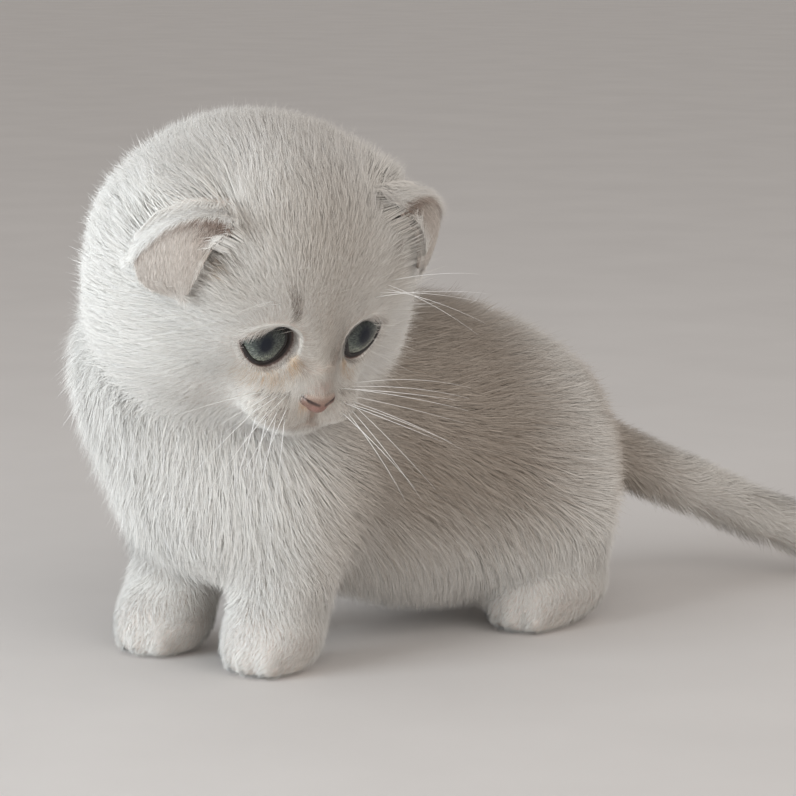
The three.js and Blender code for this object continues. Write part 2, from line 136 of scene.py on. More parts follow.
# %% Floor, lamps and sky
def material(name):
    """A new material with its shader, and a helper that adds a node to it."""
    made = bpy.data.materials.new(name)
    made.use_nodes = True
    tree = made.node_tree
    shader = tree.nodes["Principled BSDF"]

    def add(kind, settings=None, **inputs):
        node = tree.nodes.new("ShaderNode" + kind)
        for key, value in (settings or {}).items():
            setattr(node, key, value)
        for key, value in inputs.items():
            numbered = key[0] == "i" and key[1:].isdigit()
            socket = node.inputs[int(key[1:]) if numbered else key.replace("_", " ")]
            if isinstance(value, bpy.types.NodeSocket):
                tree.links.new(value, socket)
            else:
                socket.default_value = value
        return node

    def link(output, name_of_socket):
        tree.links.new(output, shader.inputs[name_of_socket])

    return made, shader, add, link


def ramp(add, value, stops):
    """A colour ramp: stops are (place, (r, g, b))."""
    node = add("ValToRGB", Fac=value)
    elements = node.color_ramp.elements
    while len(elements) < len(stops):
        elements.new(0.5)
    for element, (place, colour) in zip(elements, stops):
        element.position = place
        element.color = (*colour, 1)
    return node.outputs["Color"]


def tinted(add, colour, tint):
    """One colour multiplied by another."""
    settings = {"data_type": "RGBA", "blend_type": "MULTIPLY"}
    return add("Mix", settings, i0=1.0, i6=colour, i7=tint).outputs[2]


floor_mat, shader, add, link = material("pale_floor")
spot = add("TexNoise", Vector=add("TexCoord").outputs["Object"], Scale=14.0, Detail=3.0)
link(ramp(add, spot.outputs["Fac"], [(0.3, (0.78, 0.76, 0.745)), (0.7, (0.82, 0.80, 0.785))]), "Base Color")
shader.inputs["Roughness"].default_value = 0.8

FLOOR_HALF = 12.0
floor_mesh = bpy.data.meshes.new("floor")
floor_mesh.from_pydata(
    [(x * FLOOR_HALF, y * FLOOR_HALF, 0) for x, y in ((-1, -1), (1, -1), (1, 1), (-1, 1))], [], [(0, 1, 2, 3)]
)
floor_mesh.materials.append(floor_mat)
floor = bpy.data.objects.new("floor", floor_mesh)
bpy.context.scene.collection.objects.link(floor)

view_right = np.array([cos(VIEW_AZIMUTH), sin(VIEW_AZIMUTH), 0])
view_front = np.array([view_back[0], view_back[1], 0])
AIM = np.array([20, -30, 80])


def lamp(name, right, front, up, size, watts, colour):
    """A soft square lamp, placed in mm to the right of, in front of and above the kitten."""
    data = bpy.data.lights.new(name, "AREA")
    data.size = size
    data.energy = watts
    data.color = colour
    made = bpy.data.objects.new(name, data)
    bpy.context.scene.collection.objects.link(made)
    place = AIM + right * view_right + front * view_front + np.array([0, 0, up])
    made.location = to_row(place)
    made.rotation_euler = Vector(AIM - place).to_track_quat("-Z", "Y").to_euler()


lamp("window", -850, 600, 60, 0.65, 13.2, (0.87, 0.945, 1.0))
lamp("room", 480, 950, 330, 1.4, 7.2, (1.0, 0.94, 0.89))
world = bpy.data.worlds.new("sky")
world.use_nodes = True
world.node_tree.nodes["Background"].inputs["Color"].default_value = (1.0, 0.95, 0.91, 1)
world.node_tree.nodes["Background"].inputs["Strength"].default_value = 0.43
bpy.context.scene.world = world
bpy.context.scene.view_settings.view_transform = "Standard"

# %% [markdown]
# ## The body as a field
# A body of many rounded masses can be drawn as a field: a number at each point of space, negative
# inside and zero on the surface. Balls and tapered limbs are joined by a soft union, which rounds the
# places where they meet, as muscle and skin do. These are the frame's own masses, so the skin made
# from them fits it. Each mass is written into a grid of samples only near itself, which is quick.

# %% The masses
def ball(at, half, soft=10):
    return {"at": np.array(at, float), "half": np.array(half, float), "soft": soft}


def limb(start, end, start_radius, end_radius, soft=8):
    return {
        "from": np.array(start, float), "to": np.array(end, float),
        "radii": (start_radius, end_radius), "soft": soft,
    }


def both_sides(shapes):
    mirror = np.array([-1, 1, 1])
    flipped = [
        {**s, **{key: s[key] * mirror for key in ("at", "from", "to") if key in s}} for s in shapes
    ]
    return [s for pair in zip(shapes, flipped) for s in pair]


HEAD = [
    ball([0, 5, 2.4], [44, 37.5, 37.5]),
    ball([0, -13, 9], [29, 22, 25], 12),
    *both_sides([ball([27, -5, 19], [11.5, 12, 11.5], 12)]),
    *both_sides([ball([21, -1, -13], [21, 22, 19], 12)]),
    ball([0, -25, -16], [15, 12, 10.5], 10),
    *both_sides([ball([6.8, -32.6, -20.2], [8.4, 6.8, 6], 5)]),
    limb([0, -28, 3], [0, -36.5, -12], 6.5, 4.2, 6),
    ball([0, -29, -25], [6.5, 6, 4], 4),
]
TORSO = [
    ball([0, -20, 60], [34, 46, 39.5]),
    ball([0, 14, 51.5], [35, 42, 42], 16),
    ball([0, 42, 46], [33, 36, 36], 16),
    ball([-3, -56, 56], [34, 27, 34], 16),
    ball([-8, -62, 80], [31, 30, 30], 14),
]


def paw(x, y):
    toes = [
        ball([x + place * 5.4, y - 9.5 + (3.2 if abs(place) > 1 else 0), 6], [4.3, 5.4, 6.4], 1.6)
        for place in (-1.45, -0.5, 0.5, 1.45)
    ]
    return [ball([x, y - 1.5, 8.5], [11.5, 12, 10], 8), *toes]


def fore_leg(side, x, y):
    return [
        ball([side * 21, -43, 58], [15, 22, 24], 12),
        limb([side * 21, -45.5, 52], [x, y + 1.5, 12], 17, 12.3, 10),
        *paw(x, y),
    ]


def hind_leg(side, x, y):
    return [
        ball([side * 23, 38, 42], [15, 26, 28], 10),
        limb([side * 24, 46, 32], [x, y + 10, 13], 15, 10.5, 10),
        limb([x, y + 10, 11], [x, y - 2, 10], 10.5, 10.5, 6),
        *paw(x, y - 2),
    ]


FORE_PAWS = [(1, 16.5, -50.5), (-1, -20.5, -58.5)]
HIND_PAWS = [(1, 24, 38), (-1, -25, 48)]
LEGS = [s for leg in FORE_PAWS for s in fore_leg(*leg)] + [s for leg in HIND_PAWS for s in hind_leg(*leg)]
print("masses in head, torso and legs:", len(HEAD), len(TORSO), len(LEGS))

# %% The tail's curve
TAIL_MARKS = np.array([
    [0, 62, 50], [1, 82, 42], [11, 114, 27], [26, 142, 13.4], [44, 157, 8], [60, 160, 6.6],
], float)


def curve_through(marks, places):
    """Points at places from 0 to 1 on a smooth curve through the marks, evenly eased at each one."""
    ends = np.vstack([2 * marks[0] - marks[1], marks, 2 * marks[-1] - marks[-2]])
    gaps = np.sqrt(np.linalg.norm(np.diff(ends, axis=0), axis=1))
    made = []
    for place in places:
        at = place * (len(marks) - 1)
        n = min(int(at), len(marks) - 2)
        w = at - n
        before, start, end, after = ends[n:n + 4]
        g0, g1, g2 = gaps[n:n + 3]
        leave = ((start - before) / g0 - (end - before) / (g0 + g1) + (end - start) / g1) * g1
        reach = ((end - start) / g1 - (after - start) / (g1 + g2) + (after - end) / g2) * g1
        made.append(
            start + leave * w + (3 * (end - start) - 2 * leave - reach) * w ** 2
            + (2 * (start - end) + leave + reach) * w ** 3
        )
    return np.array(made)


TAIL_STEPS = 14
tail_line = curve_through(TAIL_MARKS, np.linspace(0, 1, TAIL_STEPS + 1))
tail_radii = np.linspace(10, 6.2, TAIL_STEPS + 1)
TAIL = [
    limb(tail_line[i], tail_line[i + 1], tail_radii[i], tail_radii[i + 1], 5) for i in range(TAIL_STEPS)
]
tail_length = np.linalg.norm(np.diff(tail_line, axis=0), axis=1).sum()
print("tail length in mm:", round(tail_length, 1))

# %% [markdown]
# ## Sampling the field
# The grid is close over the face, where lids and lips need it, and wider elsewhere. `shape_distance`
# works on any arrays that broadcast together, so the same few lines serve a grid and a list of points.

# %% Distances and the soft union
def shape_distance(shape, x, y, z):
    if "at" in shape:
        (cx, cy, cz), (a, b, c) = shape["at"], shape["half"]
        u, v, w = (x - cx) / a, (y - cy) / b, (z - cz) / c
        near = np.sqrt(u * u + v * v + w * w)
        steep = np.sqrt((u / a) ** 2 + (v / b) ** 2 + (w / c) ** 2)
        return near * (near - 1) / np.maximum(steep, 1e-6)
    start, along = shape["from"], shape["to"] - shape["from"]
    r0, r1 = shape["radii"]
    px, py, pz = x - start[0], y - start[1], z - start[2]
    t = np.clip((px * along[0] + py * along[1] + pz * along[2]) / (along @ along), 0, 1)
    off = np.sqrt((px - t * along[0]) ** 2 + (py - t * along[1]) ** 2 + (pz - t * along[2]) ** 2)
    return off - (r0 + t * (r1 - r0))


def soft_min(a, b, soft):
    near = np.maximum(soft - np.abs(a - b), 0) / soft
    return np.minimum(a, b) - near * near * soft / 4


def field_at(shapes, points):
    total = None
    for shape in shapes:
        d = shape_distance(shape, *np.moveaxis(np.asarray(points, float), -1, 0))
        total = d if total is None else soft_min(total, d, shape["soft"])
    return total


# %% The grid
def marks_between(low, high, fine_low, fine_high, fine, wide):
    before = np.arange(low, fine_low, wide)
    middle = np.arange(fine_low, fine_high, fine)
    return np.concatenate([before, middle, np.arange(fine_high, high, wide)])


WIDE_STEP = 1.5
FINE_STEP = 0.62
axes = [
    marks_between(-56, 72, 37, 66, FINE_STEP, WIDE_STEP),
    marks_between(-108, 172, -88, -34, FINE_STEP, WIDE_STEP),
    marks_between(-6, 152, 64, 112, FINE_STEP, WIDE_STEP),
]
grid_x, grid_y, grid_z = axes[0][:, None, None], axes[1][None, :, None], axes[2][None, None, :]
FAR = 40.0
REACH = 18.0


def write_shapes(grid, shapes, turned=False):
    """Writes each mass into the part of the grid near it. A turned mass is in the head's frame."""
    turn = HEAD_TURN if turned else np.eye(3)
    move = HEAD_AT if turned else np.zeros(3)
    for shape in shapes:
        if "at" in shape:
            centre = turn @ shape["at"] + move
            half = np.sqrt((turn ** 2) @ (shape["half"] ** 2))
            low, high = centre - half, centre + half
        else:
            ends = np.array([turn @ shape["from"] + move, turn @ shape["to"] + move])
            low, high = ends.min(0) - max(shape["radii"]), ends.max(0) + max(shape["radii"])
        part = tuple(
            slice(np.searchsorted(axis, lo - REACH), np.searchsorted(axis, hi + REACH))
            for axis, lo, hi in zip(axes, low, high)
        )
        x, y, z = grid_x[part[0]] - move[0], grid_y[:, part[1]] - move[1], grid_z[:, :, part[2]] - move[2]
        local = [turn[0, n] * x + turn[1, n] * y + turn[2, n] * z for n in range(3)] if turned else (x, y, z)
        grid[part] = soft_min(grid[part], shape_distance(shape, *local), shape["soft"])


trunk_grid = np.full([len(axis) for axis in axes], FAR)
write_shapes(trunk_grid, TORSO + LEGS + TAIL)
head_grid = np.full_like(trunk_grid, FAR)
write_shapes(head_grid, HEAD, turned=True)
NECK_SOFT = 12
body_grid = soft_min(trunk_grid, head_grid, NECK_SOFT)
print("samples in the grid, in millions:", round(body_grid.size / 1e6, 2))

# %% Reading the grid between its samples
def reader(grid):
    def read(points):
        cells, shares = [], []
        for n, axis in enumerate(axes):
            cell = np.clip(np.searchsorted(axis, points[:, n]) - 1, 0, len(axis) - 2)
            cells.append(cell)
            shares.append(np.clip((points[:, n] - axis[cell]) / (axis[cell + 1] - axis[cell]), 0, 1))
        total = 0
        for corner in range(8):
            bits = [(corner >> n) & 1 for n in range(3)]
            weight = 1
            for n in range(3):
                weight = weight * (shares[n] if bits[n] else 1 - shares[n])
            total = total + weight * grid[cells[0] + bits[0], cells[1] + bits[1], cells[2] + bits[2]]
        return total
    return read


def unit(vectors):
    return vectors / np.maximum(np.linalg.norm(vectors, axis=-1, keepdims=True), 1e-9)


body_at = reader(body_grid)
slopes = [reader(g.astype(np.float32)) for g in np.gradient(body_grid, *axes)]


def slope_at(points):
    return np.stack([s(points) for s in slopes], axis=1)


# %% [markdown]
# ## How deep the coat is
# The frame is the outside of the coat, so the skin lies under it by the coat's depth: under a
# millimetre on the muzzle, nearly five on the crown, six and a half on the back, little on the paws.

# %% Depth of the coat
def smooth_step(low, high, value):
    t = np.clip((value - low) / (high - low), 0, 1)
    return t * t * (3 - 2 * t)


NOSE_TIP = np.array([0, -38, -15])


def from_nose(h):
    return np.linalg.norm(h - NOSE_TIP, axis=1)


def coat_depth(x, y, z, head_share):
    """The coat's depth in mm at body places. head_share is 1 on the head and 0 on the trunk."""
    px, py, pz = x - HEAD_AT[0], y - HEAD_AT[1], z - HEAD_AT[2]
    hx, hy, hz = (HEAD_TURN[0, n] * px + HEAD_TURN[1, n] * py + HEAD_TURN[2, n] * pz for n in range(3))
    from_nose = np.sqrt(hx ** 2 + (hy - NOSE_TIP[1]) ** 2 + (hz - NOSE_TIP[2]) ** 2)
    on_head = 0.8 + 4.0 * smooth_step(20, 58, from_nose)
    on_trunk = 1.3 + 5.2 * smooth_step(8, 50, z)
    on_trunk = on_trunk + (3.0 - on_trunk) * smooth_step(58, 76, y)
    return on_head * head_share + on_trunk * (1 - head_share)


head_share_grid = smooth_step(-5, 5, trunk_grid - head_grid)
depth_grid = coat_depth(grid_x, grid_y, grid_z, head_share_grid)
head_share_at = reader(head_share_grid)
depth_at = reader(depth_grid)
print("coat depth in mm:", round(depth_grid.min(), 1), "to", round(depth_grid.max(), 1))

# %% [markdown]
# ## The mouth
# The mouth is a fine groove: a short line down from the nose and a lip line to each side. Its places
# are directions from the middle of the head, laid on the surface.

# %% Places on the head's surface
def over_head(directions, height):
    """Points at that height over the head's surface, in the directions from its middle (head frame)."""
    rays = unit(np.asarray(directions, float))
    low, high = np.full(len(rays), 10.0), np.full(len(rays), 70.0)
    for _ in range(26):
        middle = (low + high) / 2
        under = field_at(HEAD, rays * middle[:, None]) < height
        low, high = np.where(under, middle, low), np.where(under, high, middle)
    return rays * low[:, None]


LIP_HEIGHT = -22.6
lip_half = np.array([
    [4, -34.5, LIP_HEIGHT - 2.6], [8.5, -30, LIP_HEIGHT - 2.2], [12.5, -24, LIP_HEIGHT - 0.5],
])
lip_marks = np.vstack([lip_half[::-1] * [-1, 1, 1], [[0, -36, LIP_HEIGHT]], lip_half])
philtrum_marks = np.array([[0, -38, -16.4], [0, -38, -19.5], [0, -36, LIP_HEIGHT - 0.4]], float)
MOUTH_DEPTH = 0.75
mouth_lines = [
    curve_through(over_head(marks, -MOUTH_DEPTH), np.linspace(0, 1, steps))
    for marks, steps in ((philtrum_marks, 8), (lip_marks, 28))
]
GROOVE_RADIUS = 0.6
groove_shapes = [
    limb(line[i], line[i + 1], GROOVE_RADIUS, GROOVE_RADIUS, 0.2)
    for line in mouth_lines for i in range(len(line) - 1)
]

# %% [markdown]
# ## Eye openings
# Each eye looks out through an almond-shaped opening, rounder below and straighter above. No face is
# quite even, so each eye has an outline of its own. `outside_opening` tells how far from its edge a
# place lies, so that skin, lids and hair all keep to the same line.

# %% The opening's outline
OPENINGS = {
    1: np.array([
        [7.3, 0.9], [5.6, 3.4], [1.6, 4.9], [-2.6, 4.5], [-5.6, 2.3],
        [-6.5, -1.1], [-4.9, -4.7], [-0.9, -7.0], [3.3, -6.2], [6.4, -3.1],
    ]),
    -1: np.array([
        [6.2, 0.4], [4.3, 2.3], [1.1, 3.9], [-2.9, 4.9], [-6.4, 3.4],
        [-7.2, -0.6], [-5.4, -4.4], [-1.7, -6.9], [2.4, -5.6], [5.1, -2.7],
    ]),
}


def closed_curve(marks, count):
    """Evenly placed points on a smooth closed curve through the marks."""
    looped = np.vstack([marks[-2:], marks, marks[:3]])
    flat = np.column_stack([looped, np.zeros(len(looped))])
    line = curve_through(flat, np.linspace(2 / (len(looped) - 1), (2 + len(marks)) / (len(looped) - 1), 400))
    run = np.concatenate([[0], np.cumsum(np.linalg.norm(np.diff(line, axis=0), axis=1))])
    at = np.linspace(0, run[-1], count, endpoint=False)
    return np.column_stack([np.interp(at, run, line[:, n]) for n in range(2)])


LID_SPOKES = 96
outlines = {side: closed_curve(marks, LID_SPOKES) for side, marks in OPENINGS.items()}
for side, outline in outlines.items():
    print("eye opening in mm:", np.ptp(outline, axis=0).round(1))


def outline_reach(side, angle):
    """How far an opening's edge lies from the eye's middle, in the directions of those angles."""
    own = np.arctan2(outlines[side][:, 1], outlines[side][:, 0])
    order = np.argsort(own)
    return np.interp(angle, own[order], np.linalg.norm(outlines[side], axis=1)[order], period=2 * pi)


def eye_axes(side):
    """Columns: outward, up and forward of an eye, in the body frame."""
    turned = HEAD_TURN @ turn_about_z(side * GAZE_OUT)
    return np.column_stack([side * turned[:, 0], turned[:, 2], -turned[:, 1]])


BEHIND = 9.0


def outside_opening(points, side):
    """How many mm outside an eye's opening a place lies, and the place in the eye's own axes."""
    local = (points - eye_centre(side)) @ eye_axes(side)
    reach = outline_reach(side, np.arctan2(local[:, 1], local[:, 0]))
    return np.where(local[:, 2] > 0, np.linalg.norm(local[:, :2], axis=1) - reach, BEHIND), local


# %% The skin's field
skin_grid = body_grid + depth_grid
SOLE_GAP = 0.5
skin_grid = np.maximum(skin_grid, SOLE_GAP - grid_z)


def hollow_out(grid, shapes, soft, turned):
    hollow = np.full_like(grid, FAR)
    write_shapes(hollow, shapes, turned)
    return -soft_min(-grid, hollow, soft)


skin_grid = hollow_out(skin_grid, groove_shapes, 0.5, True)
EYE_PIT = EYE_RADIUS - 0.6
eye_pits = [ball([side * EYE_OUT, EYE_FORWARD, EYE_UP], [EYE_PIT] * 3) for side in (1, -1)]
skin_grid = hollow_out(skin_grid, eye_pits, 1.0, True)
LID_EDGE = 0.8
for side in (1, -1):
    part = tuple(
        slice(np.searchsorted(axis, place - 14), np.searchsorted(axis, place + 14))
        for axis, place in zip(axes, eye_centre(side))
    )
    places = np.stack(np.meshgrid(*[axis[p] for axis, p in zip(axes, part)], indexing="ij"), axis=-1)
    out, local = outside_opening(places.reshape(-1, 3), side)
    tunnel = np.maximum(out - LID_EDGE, EYE_RADIUS * 0.4 - local[:, 2]).reshape(places.shape[:3])
    skin_grid[part] = np.maximum(skin_grid[part], -tunnel)
skin_at = reader(skin_grid)

# %% [markdown]
# ## One skin
# The surface of a field can be netted: each grid cell that the surface crosses gets one vertex, and
# each crossed grid edge joins four of them in a quad. Two steps down the slope then put the vertices
# on the surface itself. A voxel remesh of the frame would leave its facets and cuts; this has none.

# %% Netting the surface
def net_surface(grid, axes=axes):
    cells = tuple(n - 1 for n in grid.shape)
    keys, places, quads = [], [], []
    for axis in range(3):
        low = [slice(None)] * 3
        high = [slice(None)] * 3
        low[axis], high[axis] = slice(None, -1), slice(1, None)
        a, b = grid[tuple(low)], grid[tuple(high)]
        crossed = np.argwhere((a < 0) != (b < 0))
        va, vb = a[tuple(crossed.T)], b[tuple(crossed.T)]
        place = np.stack([axes[n][crossed[:, n]] for n in range(3)], axis=1)
        step = axes[axis][crossed[:, axis] + 1] - place[:, axis]
        place[:, axis] += va / (va - vb) * step
        ring = []
        for second, third in ((-1, -1), (0, -1), (0, 0), (-1, 0)):
            cell = crossed.copy()
            cell[:, (axis + 1) % 3] += second
            cell[:, (axis + 2) % 3] += third
            ring.append(np.ravel_multi_index(tuple(cell.T), cells))
        ring = np.stack(ring, axis=1)
        ring[va >= 0] = ring[va >= 0][:, ::-1]
        quads.append(ring)
        keys.append(ring.ravel())
        places.append(np.repeat(place, 4, axis=0))
    keys, places, quads = np.concatenate(keys), np.concatenate(places), np.concatenate(quads)
    used, index = np.unique(keys, return_inverse=True)
    count = np.bincount(index)
    vertices = np.stack([np.bincount(index, places[:, n]) / count for n in range(3)], axis=1)
    return vertices, np.searchsorted(used, quads)


def settle(points, read, passes=3, most=0.6):
    """Moves points down the slope on to the surface of a field."""
    step = 0.2
    for _ in range(passes):
        here = read(points)
        slope = np.stack([(read(points + np.eye(3)[n] * step) - here) / step for n in range(3)], axis=1)
        move = -here[:, None] * slope / np.maximum((slope ** 2).sum(1, keepdims=True), 0.1)
        size = np.linalg.norm(move, axis=1, keepdims=True)
        points = points + move * np.minimum(1, most / np.maximum(size, 1e-9))
    return points


skin_vertices, skin_quads = net_surface(skin_grid)
skin_vertices = settle(skin_vertices, skin_at)
print("skin vertices and quads:", len(skin_vertices), len(skin_quads))

# %% [markdown]
# ## Markings
# Skin and coat share one function for their colour, so they always agree. The coat is a warm white
# with silver ticking on the face and beige on the back and the tail's root. Some of this is painted
# shade: the beige is darkest on the flank behind the shoulder, where the head's shadow falls, the
# silver is strongest on the pad of the muzzle, and a brown patch at the left ear's front corner stands
# for the shadow in the hollow under its fold. Short dark hairs show as a streak over the inner corner
# of the eye and as marks at the front corners of the ears; tears have left an ochre stain under the
# inner corners.

# %% Colours at a place
WHITE = np.array([0.86, 0.84, 0.80])
SILVER = np.array([0.64, 0.60, 0.545])
# The beige is dark enough to carry the flank's painted shade as well as the colour of the back and the tail's
# root.
BEIGE_AND_PAINTED_SHADE = np.array([0.47, 0.41, 0.35])
DARK = np.array([0.17, 0.13, 0.105])
OCHRE = np.array([0.66, 0.45, 0.26])
ROSE = np.array([0.66, 0.46, 0.40])
BROWN = np.array([0.34, 0.25, 0.20])


def toward(colours, other, share):
    return colours + (other - colours) * share[:, None]


def near(points, at, half):
    """1 at a place, falling smoothly to 0 at an ellipsoid of those half sizes."""
    return 1 - smooth_step(0, 1, np.linalg.norm((points - np.array(at)) / np.array(half), axis=1))


def coat_colour(points):
    """The coat's colour at body places."""
    h = body_to_head(points)
    share = head_share_at(points)
    colour = np.tile(WHITE, (len(points), 1))
    forehead = near(h, [-1, -30, 24], [27, 30, 34])
    temples = near(h, [-24, -27, 12], [15, 14, 12]) + near(h, [24, -27, 12], [15, 14, 12])
    bridge = near(h, [0, -38, -3], [11, 16, 22])
    eyes = near(h, [-14, -33, -3], [15, 14, 13]) + near(h, [14, -33, -3], [15, 14, 13])
    # The silver on the muzzle is partly the coat's own ticking and partly painted shade, which dims the pad
    # where it faces the window lamp.
    muzzle = near(h, [-4, -36, -17], [28, 20, 17])
    ticking = np.clip(0.75 * forehead + 0.6 * temples + 0.8 * bridge + 0.5 * eyes + 0.75 * muzzle, 0, 0.85)
    colour = toward(colour, SILVER, ticking * share)
    y, z = points[:, 1], points[:, 2]
    # Painted shade, in part: the beige is strongest on the flank behind the shoulder, where the head's shadow
    # falls, and fades over the rump; the rest is the kitten's own darker back.
    back = smooth_step(-64, -16, y) * smooth_step(14, 46, z) * (1 - share)
    rump = smooth_step(18, 52, y)
    tail = smooth_step(56, 66, y)
    tail_end = smooth_step(84, 112, y)
    colour = toward(colour, BEIGE_AND_PAINTED_SHADE, (0.92 - 0.86 * rump) * back * (1 - tail))
    colour = toward(colour, BEIGE_AND_PAINTED_SHADE, (0.85 - 0.80 * tail_end) * tail)
    return np.clip(colour, 0, 1)


FACE_MARKS = [
    ([-8.6, -35.9, 6.9], [1.9, 5, 3.3], DARK, 0.95),
    ([-9.4, -35.3, 11.2], [2.4, 5, 4.6], DARK, 0.65),
    ([9.6, -35.5, 9.0], [2.2, 6, 4.0], DARK, 0.2),
    ([-7.0, -36.3, -7.2], [2.4, 5, 4.6], OCHRE, 0.9),
    ([-11.0, -34.6, -11.2], [6.4, 6, 4.4], OCHRE, 0.42),
    ([-17.0, -31.0, -12.0], [8.0, 8, 5.0], OCHRE, 0.22),
    ([8.4, -35.4, -8.2], [2.5, 5, 4.4], OCHRE, 0.85),
    ([11.4, -34.4, -11.6], [4.0, 5, 2.6], OCHRE, 0.4),
    ([-3.6, -40.0, -17.8], [2.8, 5, 2.8], OCHRE, 0.6),
    ([3.4, -38.2, -4.6], [1.4, 5, 4.2], BROWN, 0.5),
    ([-4.8, -37.6, -7.4], [1.3, 5, 3.4], BROWN, 0.7),
    ([0.0, -41.0, -12.2], [6.0, 5, 2.8], ROSE, 0.5),
    ([-24.7, -25.4, 19.4], [2.0, 5, 2.8], DARK, 0.9),
    ([-27.8, -24.0, 17.2], [4.6, 6, 4.8], DARK, 1.0),
    ([-27.6, -23.2, 20.8], [2.8, 5, 2.6], DARK, 0.7),
    ([-28.4, -24.0, 15.6], [4.2, 6, 4.0], OCHRE, 0.3),
    ([24.5, -25.6, 20.2], [2.6, 6, 3.2], DARK, 0.75),
    # Painted shadow: this brown patch at the left ear's front corner stands for the shade in the hollow
    # between the head and the folded flap.
    ([24.0, -22.0, 28.5], [5.0, 7, 5.0], BROWN, 0.6),
]
PAD_ROWS = 3
PAD_COLUMNS = 4
SPOT_SIZE = 0.85


def pad_place(side, row, column):
    """Where a whisker grows on the pad, as a direction from the middle of the head."""
    return [side * (7.5 + 1.85 * column + 0.3 * row), -37.5 + 1.3 * column, -14.9 - 2.5 * row - 0.2 * column]


pad_places = [
    pad_place(side, row, column)
    for side in (1, -1) for row in range(PAD_ROWS) for column in range(PAD_COLUMNS)
]
whisker_spots = over_head(pad_places, -0.9)


def face_marks(points, colour, chance=None):
    """Adds the small marks of the face, and brown along the mouth's groove that is partly painted shade. With
    a chance for each place, a hair has a mark or hasn't.
    """
    h = body_to_head(points)
    for at, half, tint, strength in FACE_MARKS:
        share = strength * near(h, at, half)
        if chance is not None:
            share = 0.3 * share + 0.65 * (chance < share)
        colour = toward(colour, tint, share)
    muzzle = from_nose(h) < 20
    # Brown along the mouth's groove: partly the lips' own dark edge, partly painted shade in the groove.
    lip = 1 - smooth_step(0.0, 1.3, field_at(groove_shapes, h[muzzle]))
    spots = np.linalg.norm(h[muzzle][:, None, :] - whisker_spots[None], axis=2).min(1)
    marked = toward(colour[muzzle], BROWN, 0.6 * lip)
    colour = colour.copy()
    colour[muzzle] = toward(marked, DARK, 0.85 * smooth_step(SPOT_SIZE + 0.15, SPOT_SIZE - 0.1, spots))
    return colour


skin_colour = face_marks(skin_vertices, coat_colour(skin_vertices))
print("skin colour, darkest and lightest:", skin_colour.min(0).round(2), skin_colour.max(0).round(2))

# %% [markdown]
# ## Making meshes fast
# Fur is over a million triangles, so meshes are written as whole arrays. Colours are stored on the
# vertices as an attribute, which the material reads.

# %% Mesh from arrays
def make_mesh(name, vertices, faces, colour=None, smooth=True):
    """An object in the row frame from body places in mm. faces is an array of triangles or quads."""
    mesh = bpy.data.meshes.new(name)
    faces = np.asarray(faces, np.int32)
    corners = faces.shape[1]
    mesh.vertices.add(len(vertices))
    mesh.vertices.foreach_set("co", to_row(vertices).astype(np.float32).ravel())
    mesh.loops.add(faces.size)
    mesh.loops.foreach_set("vertex_index", faces.ravel())
    mesh.polygons.add(len(faces))
    mesh.polygons.foreach_set("loop_start", np.arange(0, faces.size, corners, dtype=np.int32))
    mesh.polygons.foreach_set("use_smooth", np.full(len(faces), smooth))
    mesh.update(calc_edges=True)
    if colour is not None:
        layer = mesh.attributes.new("coat_colour", "FLOAT_COLOR", "POINT")
        with_alpha = np.column_stack([colour, np.ones(len(colour))])
        layer.data.foreach_set("color", with_alpha.astype(np.float32).ravel())
    made = bpy.data.objects.new(name, mesh)
    bpy.context.scene.collection.objects.link(made)
    return made


def finish_piece(piece, made_material, slot, *replaced):
    piece.data.materials.append(made_material)
    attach(piece, "root")
    if replaced:
        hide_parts(*replaced)


# %% [markdown]
# ## The skin's finish
# Under the coat the skin shows only as a shade between hairs, so it takes the coat's colour, a little
# pinker, with a fine bump of short underfur.

# %% Skin
skin_mat, shader, add, link = material("skin")
colour_node = add("Attribute", {"attribute_name": "coat_colour"})
place_node = add("TexCoord")
fuzz = add("TexNoise", Vector=place_node.outputs["Object"], Scale=900.0, Detail=3.0, Roughness=0.6)
shade = ramp(add, fuzz.outputs["Fac"], [(0.25, (0.78, 0.74, 0.72)), (0.75, (1.0, 0.98, 0.97))])
link(tinted(add, colour_node.outputs["Color"], shade), "Base Color")
bump = add("Bump", Strength=0.6, Distance=0.0006, Height=fuzz.outputs["Fac"])
link(bump.outputs["Normal"], "Normal")
shader.inputs["Roughness"].default_value = 0.8

FLESH_NODES = ["head", "neck", "torso", "tail_root", "tail_middle", "tail_tip"] + [
    kind + part + "_" + side
    for kind in ("fore", "hind") for part in ("leg", "paw") for side in ("left", "right")
]
PINKER = [1.0, 0.95, 0.93]
skin = make_mesh("skin", skin_vertices, skin_quads, skin_colour * PINKER)
finish_piece(skin, skin_mat, "coat", *FLESH_NODES)
print("skin replaces", len(FLESH_NODES), "nodes; faces:", len(skin.data.polygons))

# %% [markdown]
# ## Eyes
# Each eye is a ball in its socket with a clear, wet front. Iris and pupil are drawn in the material by
# the place on the ball: a navy pupil, a grey-teal iris with fine rays and flecks, a pale ring inside
# its dark rim, painted shade of the upper lid over the top of the iris and painted light low on it.
# The wet gloss is the shader's own coat layer.

# %% Eye balls
IRIS_HALF = 6.3
PUPIL_HALF = (1.85, 2.6)


